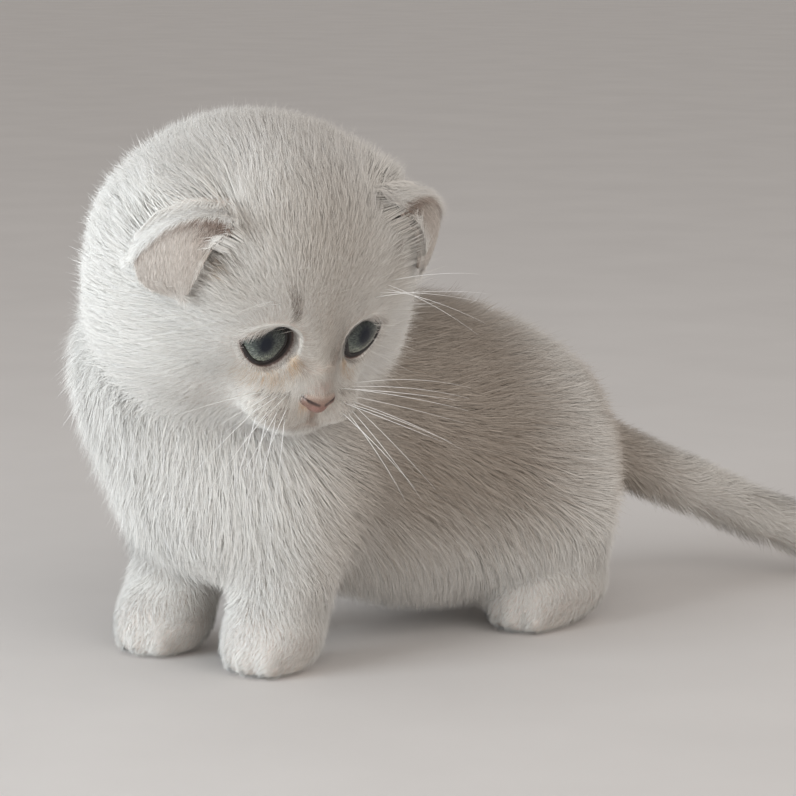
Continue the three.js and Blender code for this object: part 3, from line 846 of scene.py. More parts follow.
def eye_ball(side, rings=28, spokes=48):
    """A ball with rings round its gaze, closer at the front, as local places."""
    angles = pi * np.linspace(0, 1, rings + 1) ** 1.3
    points = [[0, 0, EYE_RADIUS]]
    for angle in angles[1:-1]:
        for spoke in range(spokes):
            turn = 2 * pi * spoke / spokes
            points.append([
                EYE_RADIUS * sin(angle) * cos(turn),
                EYE_RADIUS * sin(angle) * sin(turn),
                EYE_RADIUS * cos(angle),
            ])
    points.append([0, 0, -EYE_RADIUS])
    last = len(points) - 1
    faces = []
    for spoke in range(spokes):
        after = (spoke + 1) % spokes
        faces.append([0, 1 + spoke, 1 + after])
        for ring in range(rings - 2):
            a, b = 1 + ring * spokes + spoke, 1 + ring * spokes + after
            faces += [[a, a + spokes, b + spokes], [a, b + spokes, b]]
        faces.append([1 + (rings - 2) * spokes + spoke, last, 1 + (rings - 2) * spokes + after])
    faces = np.array(faces)
    return np.array(points), faces if side > 0 else faces[:, ::-1]


eye_mat, shader, add, link = material("eye")
local = add("Attribute", {"attribute_name": "eye_place"})
split = add("SeparateXYZ", Vector=local.outputs["Vector"])
right, up = split.outputs["X"], split.outputs["Y"]


def calc(operation, *values):
    return add("Math", {"operation": operation}, **{f"i{n}": v for n, v in enumerate(values)}).outputs[0]


off_axis = calc("SQRT", calc("ADD", calc("MULTIPLY", right, right), calc("MULTIPLY", up, up)))
across = calc("DIVIDE", right, PUPIL_HALF[0])
tall = calc("DIVIDE", up, PUPIL_HALF[1])
in_pupil = calc("SQRT", calc("ADD", calc("MULTIPLY", across, across), calc("MULTIPLY", tall, tall)))
turn = calc("ARCTAN2", up, right)
ray_place = add("CombineXYZ", X=calc("MULTIPLY", calc("COSINE", turn), 5.0),
                Y=calc("MULTIPLY", calc("SINE", turn), 5.0), Z=calc("MULTIPLY", off_axis, 0.35))
rays = add("TexNoise", Vector=ray_place.outputs["Vector"], Scale=3.0, Detail=4.0, Roughness=0.7)
flecks = add("TexNoise", Vector=local.outputs["Vector"], Scale=1.5, Detail=3.0, Roughness=0.7)
iris = ramp(add, rays.outputs["Fac"], [
    (0.30, (0.024, 0.026, 0.027)), (0.5, (0.082, 0.090, 0.086)), (0.72, (0.24, 0.25, 0.235)),
])
green = ramp(add, flecks.outputs["Fac"], [
    (0.35, (0.62, 0.64, 0.66)), (0.5, (1, 1, 1)), (0.68, (1.2, 1.25, 1.1)),
])
iris = tinted(add, iris, green)
rim = ramp(add, calc("DIVIDE", off_axis, IRIS_HALF), [
    (0.0, (0.35, 0.38, 0.42)), (0.5, (0.75, 0.8, 0.82)), (0.82, (1.35, 1.4, 1.36)), (0.92, (0.9, 0.92, 0.9)),
    (0.98, (0.05, 0.05, 0.052)),
])
iris = tinted(add, iris, rim)
# Painted shade and light: the iris darkens towards its top, where the upper lid's shade falls, and brightens
# towards its bottom.
up_for_painted_shade = add("MapRange", Value=up, From_Min=-5.0, From_Max=4.5).outputs["Result"]
painted_lid_shade_and_light = ramp(add, up_for_painted_shade, [
    (0.0, (1.9, 1.88, 1.75)), (0.5, (0.92, 0.92, 0.92)), (1.0, (0.26, 0.27, 0.28)),
])
iris = tinted(add, iris, painted_lid_shade_and_light)
soft_pupil = add("MapRange", Value=in_pupil, From_Min=0.6, From_Max=1.4).outputs["Result"]
pupil = add("Mix", {"data_type": "RGBA"}, i0=soft_pupil, i6=(0.004, 0.007, 0.014, 1), i7=iris)
link(pupil.outputs[2], "Base Color")
shader.inputs["Roughness"].default_value = 0.45
shader.inputs["Specular IOR Level"].default_value = 0.04
shader.inputs["Coat Weight"].default_value = 0.9
shader.inputs["Coat Roughness"].default_value = 0.03
shader.inputs["Coat IOR"].default_value = 1.38

for name, side in (("left", 1), ("right", -1)):
    points, faces = eye_ball(side)
    eye = make_mesh("eyeball_" + name, points @ eye_axes(side).T + eye_centre(side), faces)
    layer = eye.data.attributes.new("eye_place", "FLOAT_VECTOR", "POINT")
    layer.data.foreach_set("vector", points.astype(np.float32).ravel())
    finish_piece(eye, eye_mat, "eye", "eye_" + name)
    print(eye.name, "faces:", len(eye.data.polygons))

# %% [markdown]
# ## Lids
# A lid is a thin roll of skin that lies on the ball. Seen close, a kitten's lid has a black, bare,
# slightly wet margin half a millimetre to two wide, then brownish skin under the first hairs. Each ring
# starts under the edge, rolls over it, and runs outwards until it dips under the face.

# %% Lid rings
lid_mat, shader, add, link = material("lid")
out_node = add("Attribute", {"attribute_name": "outward"})
grain = add("TexNoise", Vector=add("TexCoord").outputs["Object"], Scale=1600.0, Detail=2.0)
moved = add("Math", {"operation": "MULTIPLY_ADD"},
            i0=grain.outputs["Fac"], i1=0.12, i2=out_node.outputs["Fac"])
bare = ramp(add, moved.outputs[0], [
    (0.0, (0.010, 0.009, 0.009)), (0.40, (0.014, 0.011, 0.011)), (0.52, (0.075, 0.045, 0.036)),
    (0.64, (0.24, 0.17, 0.14)),
])
furred_share = add("MapRange", Value=moved.outputs[0], From_Min=0.52, From_Max=0.72).outputs["Result"]
lid_tint = add("Mix", {"data_type": "RGBA"}, i0=furred_share, i6=bare,
               i7=add("Attribute", {"attribute_name": "coat_colour"}).outputs["Color"])
link(lid_tint.outputs[2], "Base Color")
link(ramp(add, out_node.outputs["Fac"], [(0.2, (0.25,) * 3), (0.5, (0.75,) * 3)]), "Roughness")
lid_bump = add("Bump", Strength=0.3, Distance=0.0002, Height=grain.outputs["Fac"])
link(lid_bump.outputs["Normal"], "Normal")


def lid_margin(around):
    """The black margin's width round the opening: wider below, widest at the inner corner."""
    return 0.5 + 0.5 * smooth_step(0.3, -0.8, around[:, 1]) + 1.2 * smooth_step(0.2, 0.95, -around[:, 0])


# Rows of a lid: its share of the black margin's width inwards, how far outwards in mm, how high in mm,
# the share of that height that counts from the face instead of the ball, and the colour's place
LID_ROWS = [
    (1.0, -0.25, -0.12, 0, 0.0), (1.0, 0.0, 0.14, 0, 0.05), (0.85, 0.0, 0.32, 0, 0.12),
    (0.55, 0.0, 0.50, 0, 0.22), (0.2, 0.0, 0.62, 0.05, 0.34), (0.0, 0.2, 0.58, 0.3, 0.46),
    (0.0, 0.6, 0.36, 0.7, 0.60), (0.0, 1.1, 0.2, 1, 0.75), (0.0, 1.8, 0.04, 1, 0.9),
    (0.0, 2.8, -0.7, 1, 1.0), (0.0, 2.4, -1.6, 1, 1.0), (0.0, 1.0, -0.9, 0, 1.0),
    (0.6, 0.0, -0.4, 0, 0.2),
]
LID_SHADE = 0.9


def face_height(flat, side):
    """How far forward of an eye's middle the face's skin lies, at places across the eye's axes."""
    low, high = np.full(len(flat), 1.0), np.full(len(flat), EYE_RADIUS + 9)
    for _ in range(20):
        middle = (low + high) / 2
        places = np.column_stack([flat, middle]) @ eye_axes(side).T + eye_centre(side)
        inside = body_at(places) + depth_at(places) < 0
        low, high = np.where(inside, middle, low), np.where(inside, high, middle)
    return low


def lid_ring(side):
    rows = []
    outline, outward = outlines[side], unit(outlines[side])
    for share, out, height, face_share, _ in LID_ROWS:
        flat = outline + outward * (out - share * lid_margin(outward))[:, None]
        sphere = EYE_RADIUS + height
        over_ball = np.sqrt(np.maximum(sphere ** 2 - (flat ** 2).sum(1), 4.0))
        over_face = face_height(flat, side) + height
        rows.append(np.column_stack([flat, over_ball + (over_face - over_ball) * face_share]))
    points = np.concatenate(rows)
    faces = []
    count = len(LID_ROWS)
    for row in range(count):
        for spoke in range(LID_SPOKES):
            a = row * LID_SPOKES + spoke
            b = row * LID_SPOKES + (spoke + 1) % LID_SPOKES
            c = ((row + 1) % count) * LID_SPOKES + (spoke + 1) % LID_SPOKES
            d = ((row + 1) % count) * LID_SPOKES + spoke
            faces.append([a, b, c, d] if side < 0 else [d, c, b, a])
    return points, np.array(faces)


lids = {}
for name, side in (("left", 1), ("right", -1)):
    points, faces = lid_ring(side)
    placed = points @ eye_axes(side).T + eye_centre(side)
    lid = make_mesh("lid_" + name, placed, faces, face_marks(placed, coat_colour(placed)) * LID_SHADE)
    layer = lid.data.attributes.new("outward", "FLOAT", "POINT")
    layer.data.foreach_set("value", np.repeat([row[-1] for row in LID_ROWS], LID_SPOKES).astype(np.float32))
    finish_piece(lid, lid_mat, "eye")
    lids[side] = (placed, faces)
    print(lid.name, "faces:", len(lid.data.polygons), "reaches forward by", points[:, 2].max().round(1))

# %% [markdown]
# ## Nose leather
# The nose is bare, pebbled skin about nine millimetres wide, with a comma-shaped nostril cut into
# each side, painted near black as the shadow inside it, and a fine groove down its middle. It is
# netted from its own small field.

# %% Nose
NOSE = [
    ball([0, -38.0, -14.5], [4.4, 3.5, 2.3]),
    ball([0, -38.3, -16.6], [2.9, 3.2, 2.5], 1.5),
    *both_sides([ball([3.2, -37.7, -15.3], [1.6, 2.7, 1.8], 1.2)]),
]
NOSTRILS = both_sides([
    limb([1.0, -41.7, -15.8], [2.0, -41.4, -15.6], 0.22, 0.34, 0.2),
    limb([2.0, -41.4, -15.6], [3.4, -40.5, -14.9], 0.32, 0.18, 0.2),
    limb([3.4, -40.5, -14.9], [4.7, -38.4, -14.1], 0.16, 0.10, 0.2),
])
NOSE_GROOVE = [limb([0, -42.2, -15.2], [0, -40.7, -19.5], 0.2, 0.32, 0.2)]
nose_axes = [np.arange(-6, 6.1, 0.22), np.arange(-44, -33, 0.22), np.arange(-20.5, -10.5, 0.22)]
nose_places = np.stack(np.meshgrid(*nose_axes, indexing="ij"), axis=-1)


def nose_field(points):
    whole = field_at(NOSE, points)
    return -soft_min(-whole, field_at(NOSTRILS + NOSE_GROOVE, points), 0.35)


nose_vertices, nose_quads = net_surface(nose_field(nose_places), nose_axes)
nose_vertices = settle(nose_vertices, nose_field, most=0.15)

# %% The nose's colours
NOSE_PINK = np.array([0.29, 0.165, 0.135])
NOSE_TAN = np.array([0.32, 0.235, 0.19])
NOSE_EDGE = np.array([0.20, 0.125, 0.10])
NOSE_FUR = np.array([0.50, 0.43, 0.37])
NOSTRIL_SHADOW = np.array([0.05, 0.028, 0.024])
nx, ny, nz = nose_vertices.T
in_nostril = 1 - smooth_step(0.0, 0.45, field_at(NOSTRILS, nose_vertices))
edge_of_nose = smooth_step(1.2, 3.6, ny + 41.0) + smooth_step(3.0, 4.6, np.abs(nx))
nose_colour = np.tile(NOSE_PINK, (len(nose_vertices), 1))
nose_colour = toward(nose_colour, NOSE_TAN, 0.9 * smooth_step(-16.6, -14.6, nz))
nose_colour = toward(nose_colour, NOSE_EDGE, np.clip(edge_of_nose, 0, 1) * 0.5)
nose_colour = toward(nose_colour, NOSE_FUR, 0.9 * smooth_step(-14.8, -12.8, nz))
# Painted shadow: the shallow nostril cuts are painted near black for the shade inside a nostril.
nose_colour = toward(nose_colour, NOSTRIL_SHADOW, in_nostril)

nose_mat, shader, add, link = material("nose_leather")
pebble = add("TexVoronoi", Vector=add("TexCoord").outputs["Object"], Scale=2600.0)
tint = ramp(add, pebble.outputs["Distance"], [(0.1, (1.0, 0.98, 0.97)), (0.6, (0.80, 0.76, 0.75))])
colour_node = add("Attribute", {"attribute_name": "coat_colour"})
link(tinted(add, colour_node.outputs["Color"], tint), "Base Color")
pebbles = add("Bump", {"invert": True}, Strength=0.5, Distance=0.0001, Height=pebble.outputs["Distance"])
link(pebbles.outputs["Normal"], "Normal")
shader.inputs["Roughness"].default_value = 0.42
shader.inputs["Coat Weight"].default_value = 0.25
shader.inputs["Coat Roughness"].default_value = 0.25
nose = make_mesh("nose_pad", head_to_body(nose_vertices), nose_quads, nose_colour)
finish_piece(nose, nose_mat, "nose_leather", "nose")
print("nose faces:", len(nose.data.polygons))

# %% [markdown]
# ## Folded ears
# The fold gives the breed its name: the ear's cartilage bends forward and down, so the furred back of
# the ear is what shows, like a small cap. Each ear is one thin sheet that rises from the head, turns
# over along a curved fold, and comes down in a rounded tip.

# %% Ear sheets
EAR_BACK = np.array([-42.1, -12, 13.9])
EAR_TOP = np.array([-33.6, -20.5, 30.6])
EAR_FRONT = np.array([-24.4, -25, 26.6])
EAR_TIP = np.array([-35, -23.4, 9.4])
EAR_FOLD_HEIGHT = 4.2
EAR_TIP_HEIGHT = 2.4
EAR_ROOT_DEPTH = -3.0
EAR_TURN = radians(2.5)
EAR_SKIN = 1.1
UNDER_VELVET = -0.6


def ear_height(u, v):
    """The ear's height over the head."""
    domed = 0.78 + 0.22 * (1 - u * u)
    over = (EAR_FOLD_HEIGHT + (EAR_TIP_HEIGHT - EAR_FOLD_HEIGHT) * np.clip(v, 0, 1)) * domed
    rise = np.sqrt(np.maximum(1 - np.minimum(v, 0) ** 2, 0))
    return np.where(v >= 0, over, EAR_ROOT_DEPTH + (EAR_FOLD_HEIGHT * domed - EAR_ROOT_DEPTH) * rise)


def ear_surface(side, u, v, lift, level=None):
    """Points in the head's frame. u runs along the fold, v from the root at -1 over the fold to the tip at 1.
    With a level they lie at that height over the head instead of on the ear."""
    t = (u[:, None] + 1) / 2
    fold = (1 - t) ** 2 * EAR_BACK + 2 * t * (1 - t) * EAR_TOP + t * t * EAR_FRONT
    middle = 0.25 * EAR_BACK + 0.5 * EAR_TOP + 0.25 * EAR_FRONT
    across = unit(EAR_FRONT - EAR_BACK)
    reach = fold - EAR_TIP
    sideways = reach @ across
    centred = (middle - EAR_TIP) @ across
    front = np.clip(v, 0, 1)
    straight = (1 - front) ** 0.6 * (0.62 + 0.38 * np.exp(-6 * front))
    convex = (1 - front ** 2.2) ** 0.8
    rounding = np.maximum(np.where(u > 0, straight, convex), 0.1)
    over = EAR_TIP + (reach - sideways[:, None] * across) * (1 - front)[:, None] \
        + across * (centred * (1 - front) + (sideways - centred) * rounding)[:, None]
    back = np.minimum(v, 0)
    folded = (fold - middle) * (1 - 0.12 * back ** 2)[:, None]
    under = middle + (EAR_TIP - middle) * (back * 0.42)[:, None] + folded
    direction = np.where((v >= 0)[:, None], over, under)
    height = ear_height(u, v) if level is None else level
    c, s = cos(side * EAR_TURN), sin(side * EAR_TURN)
    turned = np.column_stack([
        c * direction[:, 0] + s * direction[:, 2],
        direction[:, 1],
        -s * direction[:, 0] + c * direction[:, 2],
    ])
    return over_head(turned, height + lift) * [-side, 1, 1]


EAR_ACROSS = 26
EAR_ALONG = 44
ear_v, ear_u = (a.ravel() for a in np.meshgrid(
    np.linspace(-1, 1, EAR_ALONG + 1), np.linspace(-1, 1, EAR_ACROSS + 1), indexing="ij"))


def ear_sheet(side):
    """Vertices (body frame) and quads of a closed sheet, and the quads of its furred face."""
    tuck = np.where(ear_v < 0, 1 + ear_v, 1)
    outer = ear_surface(side, ear_u, ear_v, UNDER_VELVET)
    inner = ear_surface(side, ear_u, ear_v, UNDER_VELVET - EAR_SKIN * tuck - (1 - tuck) * 1.0)
    row = EAR_ACROSS + 1
    sheet = row * (EAR_ALONG + 1)
    cells = (np.arange(EAR_ALONG)[:, None] * row + np.arange(EAR_ACROSS)).ravel()
    face = np.column_stack([cells, cells + row, cells + row + 1, cells + 1])
    rim = np.concatenate([
        np.arange(EAR_ACROSS), np.arange(EAR_ALONG) * row + EAR_ACROSS,
        EAR_ALONG * row + np.arange(EAR_ACROSS, 0, -1), np.arange(EAR_ALONG, 0, -1) * row,
    ])
    after = np.roll(rim, -1)
    walls = np.column_stack([rim, after, after + sheet, rim + sheet])
    quads = np.concatenate([face, (face + sheet)[:, ::-1], walls])
    if side > 0:
        quads = quads[:, ::-1]
    return head_to_body(np.concatenate([outer, inner])), quads, face if side < 0 else face[:, ::-1]


# %% Ear skin
EAR_PALE = np.array([0.69, 0.63, 0.575])
EAR_EDGE = np.array([0.38, 0.285, 0.24])


def ear_colour(u, v):
    """Pale and pinkish, with a browner fold and a brown front corner, and white behind the fold."""
    fold = -0.1 - 0.28 * smooth_step(-1, 0.2, u)
    edge = np.exp(-((v - fold) / 0.11) ** 2) * (0.45 + 0.55 * smooth_step(-0.6, 0.5, u))
    corner = np.exp(-((v + 0.12) / 0.26) ** 2 - ((u - 0.8) / 0.45) ** 2)
    colour = np.tile(EAR_PALE, (len(u), 1))
    colour = toward(colour, EAR_EDGE, np.clip(0.9 * edge + 0.75 * corner, 0, 1))
    return toward(colour, WHITE, smooth_step(-0.06, -0.28, v - fold))


ear_mat, shader, add, link = material("ear_skin")
veins = add("TexNoise", Vector=add("TexCoord").outputs["Object"], Scale=420.0, Detail=4.0, Roughness=0.6)
tint = ramp(add, veins.outputs["Fac"], [(0.3, (0.86, 0.80, 0.78)), (0.7, (1.0, 0.98, 0.97))])
colour_node = add("Attribute", {"attribute_name": "coat_colour"})
link(tinted(add, colour_node.outputs["Color"], tint), "Base Color")
ear_bump = add("Bump", Strength=0.4, Distance=0.0003, Height=veins.outputs["Fac"])
link(ear_bump.outputs["Normal"], "Normal")
shader.inputs["Roughness"].default_value = 0.7

ears = {}
for name, side in (("left", 1), ("right", -1)):
    points, quads, furred = ear_sheet(side)
    colour = np.tile(ear_colour(ear_u, ear_v), (2, 1))
    ear = make_mesh("ear_skin_" + name, points, quads, colour)
    finish_piece(ear, ear_mat, "ear_coat", "ear_" + name)
    ears[side] = (points, furred)
    print(ear.name, "faces:", len(ear.data.polygons))

# %% [markdown]
# ## How hair lies
# Hair never stands at random. On a face it starts at the nose and runs up, out and back; it parts
# round the eyes; from the nape it runs to the tail, down the flanks and legs, and forward over the
# toes. `lie_at` gives that direction for any place on the skin, with a slow wave that parts it here
# and there, as a kitten's soft coat does.

# %% The lie of the coat
HAIR_SOURCE = np.array([0, -33, -9])


def wave(points, size, seed, parts=5):
    """A smooth, repeatable wobble from -1 to 1 over places, with bumps of about that size in mm."""
    own = np.random.default_rng(seed)
    ways = unit(own.normal(size=(parts, 3))) * own.uniform(0.7, 1.5, (parts, 1)) * pi / size
    starts = own.uniform(0, 2 * pi, parts)
    return np.sin(points @ ways.T + starts).sum(1) / parts ** 0.5


def flat_on(vectors, normals):
    return unit(vectors - (vectors * normals).sum(1, keepdims=True) * normals)


tail_guide = curve_through(TAIL_MARKS, np.linspace(0, 1, 41))
tail_ways = unit(np.gradient(tail_guide, axis=0))


def tail_way(points):
    """Direction along the tail at the nearest part of its curve."""
    ways = np.tile([0.0, 1.0, -0.3], (len(points), 1))
    behind = points[:, 1] > 50
    gap = np.linalg.norm(points[behind][:, None, :] - tail_guide[None], axis=2)
    ways[behind] = tail_ways[gap.argmin(1)]
    return ways


def mix(a, b, share):
    return a * (1 - share[:, None]) + np.asarray(b) * share[:, None]


def lie_at(points, normals):
    h = body_to_head(points)
    gap = from_nose(h)
    face = unit((h - HAIR_SOURCE) @ HEAD_TURN.T)
    for side in (1, -1):
        out, local = outside_opening(points, side)
        away = unit((points - eye_centre(side)) - local[:, 2:] * eye_axes(side)[:, 2])
        face = mix(face, away * 1.3, 0.85 * np.exp(-(np.maximum(out, 0) / 4.5) ** 2))
    head = mix(unit(face), [-0.1, 0.7, -0.7], smooth_step(58, 84, gap))
    x, y, z = points.T
    on_tail = smooth_step(56, 68, y)
    trunk = np.tile([0.0, 1.0, -0.32], (len(points), 1))
    trunk = mix(trunk, [0, 0.1, -1.0], 0.9 * smooth_step(-30, -68, y))
    trunk = mix(trunk, [0, 0.12, -1.0], smooth_step(46, 22, z) * (1 - on_tail))
    trunk = mix(trunk, [0, -0.8, -0.55], smooth_step(15, 9, z) * (1 - on_tail))
    trunk = mix(trunk, tail_way(points), on_tail)
    lie = flat_on(mix(unit(trunk), unit(head), head_share_at(points)), normals)
    sway = 0.26 * wave(points, 11, 3) + 0.14 * wave(points, 5, 4)
    calm = 0.30 + 0.70 * smooth_step(30, 70, gap)
    return unit(lie + np.cross(normals, lie) * (sway * calm)[:, None])


# %% [markdown]
# ## Tufts
# Every tuft is a closed thin spike. A straight one has a three-sided root and a point, four triangles;
# a bent one has a three-sided waist as well. Hundreds of thousands of them read as fur. A tuft keeps
# its root on the skin and its tip near the outside of the frame, so the coat fills the space that the
# frame gives it. Neighbouring tips are drawn together into locks. The tufts also keep much of the
# skin's own shading, so the coat looks soft and not like needles.

# %% Roots on a surface
PATCH = 0.003


def unwrap(vertices, quads):
    """Lays a piece of skin out flat and gives the corners' places on it, one row for each quad."""
    flat = make_mesh("unwrap", vertices, quads)
    bpy.context.view_layer.objects.active = flat
    flat.select_set(True)
    bpy.ops.object.mode_set(mode="EDIT")
    bpy.ops.mesh.select_all(action="SELECT")
    bpy.ops.uv.smart_project(angle_limit=radians(64), island_margin=0.004)
    bpy.ops.object.mode_set(mode="OBJECT")
    places = np.empty(8 * len(quads))
    flat.data.uv_layers.active.data.foreach_get("uv", places)
    mesh = flat.data
    bpy.data.objects.remove(flat)
    bpy.data.meshes.remove(mesh)
    return places.reshape(-1, 4, 2)


def scatter(vertices, quads, corners, density):
    """Root places, evenly spread at density(places) per square mm, and their places on the unwrap."""
    triangles = np.stack([quads[:, [0, 1, 2]], quads[:, [0, 2, 3]]], axis=1).reshape(-1, 3)
    flat = np.stack([corners[:, [0, 1, 2]], corners[:, [0, 2, 3]]], axis=1).reshape(-1, 3, 2)
    a, b, c = (vertices[triangles[:, n]] for n in range(3))
    facing = np.cross(b - a, c - a)
    wanted = np.cumsum(np.linalg.norm(facing, axis=1) / 2 * density((a + b + c) / 3, unit(facing)))
    count = int(wanted[-1])
    picks = np.searchsorted(wanted, (np.arange(count) + rng.random(count)) * wanted[-1] / count)
    picks = np.minimum(picks, len(triangles) - 1)
    s, t = rng.random((2, count, 1))
    over = s + t > 1
    s, t = np.where(over, 1 - s, s), np.where(over, 1 - t, t)
    places = a[picks] + s * (b - a)[picks] + t * (c - a)[picks]
    on_flat = flat[picks, 0] + s * (flat[picks, 1] - flat[picks, 0]) + t * (flat[picks, 2] - flat[picks, 0])
    return places, on_flat


# %% Spikes
SOFTNESS = 0.66
TRUNK_SOFTNESS = 0.88
RING = [(1, 0), (-1, 0), (0, 0.8)]
WAIST = 0.82
ABOVE_FLOOR = 0.05


def spikes(stations, normals, widths, colours, on_flat, softness=SOFTNESS):
    """Closed three-sided spikes. stations are their middles from root to tip, with a colour for each."""
    softness = np.broadcast_to(softness, len(normals))[:, None]
    count, rings = len(stations[0]), len(stations) - 1
    side = unit(np.cross(unit(stations[-1] - stations[0]), normals))
    up = np.cross(side, unit(stations[-1] - stations[0]))
    corners = 3 * rings + 1
    vertices, shading, tint = (np.empty((count, corners, 3)) for _ in range(3))
    patch = np.empty((corners, 2))
    for ring in range(rings):
        for n, (a, b) in enumerate(RING):
            offset = side * a + up * b
            k = 3 * ring + n
            vertices[:, k] = stations[ring] + offset * (widths * WAIST ** ring)[:, None] / 2
            shading[:, k] = unit(offset) * (1 - softness) + normals * softness
            tint[:, k] = colours[ring]
            patch[k] = a, 2 * ring / rings - 1
    vertices[:, -1], shading[:, -1], tint[:, -1], patch[-1] = stations[-1], normals, colours[-1], (0, 1)
    faces = [(0, 2, 1)]
    for k in range(3 * rings):
        here, beside = k, k - 2 if k % 3 == 2 else k + 1
        if k < 3 * rings - 3:
            faces += [(here, beside, beside + 3), (here, beside + 3, here + 3)]
        else:
            faces.append((here, beside, corners - 1))
    faces = (np.array(faces)[None] + corners * np.arange(count)[:, None, None]).reshape(-1, 3)
    places = on_flat[:, None] + patch[None] * PATCH / 2
    return [a.reshape(-1, a.shape[-1]) for a in (vertices, unit(shading), tint, places)] + [faces]


def make_coat(name, groups, coat_material, slot):
    """One mesh from several groups of spikes."""
    starts = np.cumsum([0] + [len(g[0]) for g in groups[:-1]])
    vertices, shading, tint, places = (np.concatenate([g[n] for g in groups]) for n in range(4))
    faces = np.concatenate([g[4] + start for g, start in zip(groups, starts)])
    vertices[:, 2] = np.maximum(vertices[:, 2], ABOVE_FLOOR)
    made = make_mesh(name, vertices, faces, tint)
    layer = made.data.uv_layers.new(name="OFBake")
    layer.data.foreach_set("uv", places[faces.ravel()].astype(np.float32).ravel())
    made.data.normals_split_custom_set_from_vertices(shading.tolist())
    finish_piece(made, coat_material, slot)
    print(name, "triangles:", len(faces))
    return len(faces)


# %% Locks
def nearest_of(places, marks):
    tree = kdtree.KDTree(len(marks))
    for n, place in enumerate(marks):
        tree.insert(place, n)
    tree.balance()
    return np.array([tree.find(place)[1] for place in places])


def draw_together(tips, size, pull):
    """Draws tips towards the middle of the lock they are nearest to."""
    middles = tips[rng.choice(len(tips), max(1, len(tips) // size), replace=False)]
    return tips + (middles[nearest_of(tips, middles)] - tips) * pull[:, None]


# %% [markdown]
# ## The coat's finish
# One material serves every tuft. The colour sits on the tufts themselves, so the material only adds
# a fine change along and between hairs, and a matt surface with a soft sheen.

# %% Coat material
coat_mat, shader, add, link = material("coat")
colour_node = add("Attribute", {"attribute_name": "coat_colour"})
hair_noise = add("TexNoise", Vector=add("TexCoord").outputs["Object"], Scale=700.0, Detail=2.0)
hair_shade = ramp(add, hair_noise.outputs["Fac"], [(0.3, (0.92, 0.91, 0.90)), (0.7, (1.0, 1.0, 1.0))])
link(tinted(add, colour_node.outputs["Color"], hair_shade), "Base Color")
link(ramp(add, hair_noise.outputs["Fac"], [(0.3, (0.62,) * 3), (0.7, (0.8,) * 3)]), "Roughness")
shader.inputs["Sheen Weight"].default_value = 0.25
shader.inputs["Sheen Roughness"].default_value = 0.5
shader.inputs["Specular IOR Level"].default_value = 0.3

# %% Regions of the coat
FACE_REACH = 29
MASK_REACH = 44
CHEST_END = -44
RIBS_END = 2
LOIN_END = 32
TAIL_START = 72
LEGS_TOP = 25
FORELEGS_END = -10
face_centres = skin_vertices[skin_quads].mean(1)
centre_h = body_to_head(face_centres)
on_head = head_share_at(face_centres) > 0.5
cx, cy, cz = face_centres.T
face_gap = from_nose(centre_h)
is_face = on_head & (face_gap < FACE_REACH)
is_mask = on_head & ~is_face & (face_gap < MASK_REACH)
is_left = centre_h[:, 0] > 0
is_tail = ~on_head & (cy > TAIL_START)
is_low = ~on_head & ~is_tail & (cz < LEGS_TOP)
is_trunk = ~on_head & ~is_tail & ~is_low
REGIONS = {
    "coat_face_left": is_face & is_left,
    "coat_face_right": is_face & ~is_left,
    "coat_brow_left": is_mask & is_left,
    "coat_brow_right": is_mask & ~is_left,
    "coat_head_left": on_head & ~is_face & ~is_mask & is_left,
    "coat_head_right": on_head & ~is_face & ~is_mask & ~is_left,
    "coat_chest": is_trunk & (cy < CHEST_END),
    "coat_ribs": is_trunk & (cy >= CHEST_END) & (cy < RIBS_END),
    "coat_loin": is_trunk & (cy >= RIBS_END) & (cy < LOIN_END),
    "coat_rump": is_trunk & (cy >= LOIN_END),
    "coat_forelegs": is_low & (cy < FORELEGS_END),
    "coat_hindlegs": is_low & (cy >= FORELEGS_END),
    "coat_tail": is_tail,
}


def density_at(places, facing):
    """Tufts for each square mm of skin, fewer where it faces the floor."""
    gap = from_nose(body_to_head(places))
    share = head_share_at(places)
    head = 15.5 - 9.0 * smooth_step(18, 56, gap)
    trunk = 4.2 + 1.4 * smooth_step(34, 12, places[:, 2]) + 0.5 * smooth_step(60, 76, places[:, 1])
    under = 1 - 0.55 * smooth_step(-0.3, -0.8, facing[:, 2])
    return (head * share + trunk * (1 - share)) * under


# %% [markdown]
# ## Over the ears
# A folded ear doesn't stand on the head like a cap: crown hair leans over its back as far as the fold,
# and a pale tuft in front crosses the corner of the fold. In front of the left ear more hairs lean over
# its edge. `lean_over_ear` finds the hairs whose roots lie in those places and gives them a new waist
# and tip that clear the ear's sheet.

# %% Leaning hair
def span(low, high, steps_across, front, behind, steps_along):
    grid = np.meshgrid(np.linspace(low, high, steps_across), np.linspace(front, behind, steps_along))
    return (a.ravel() for a in grid)


CROWN_SKIN = -4.4
FRONT_SKIN = -3.2


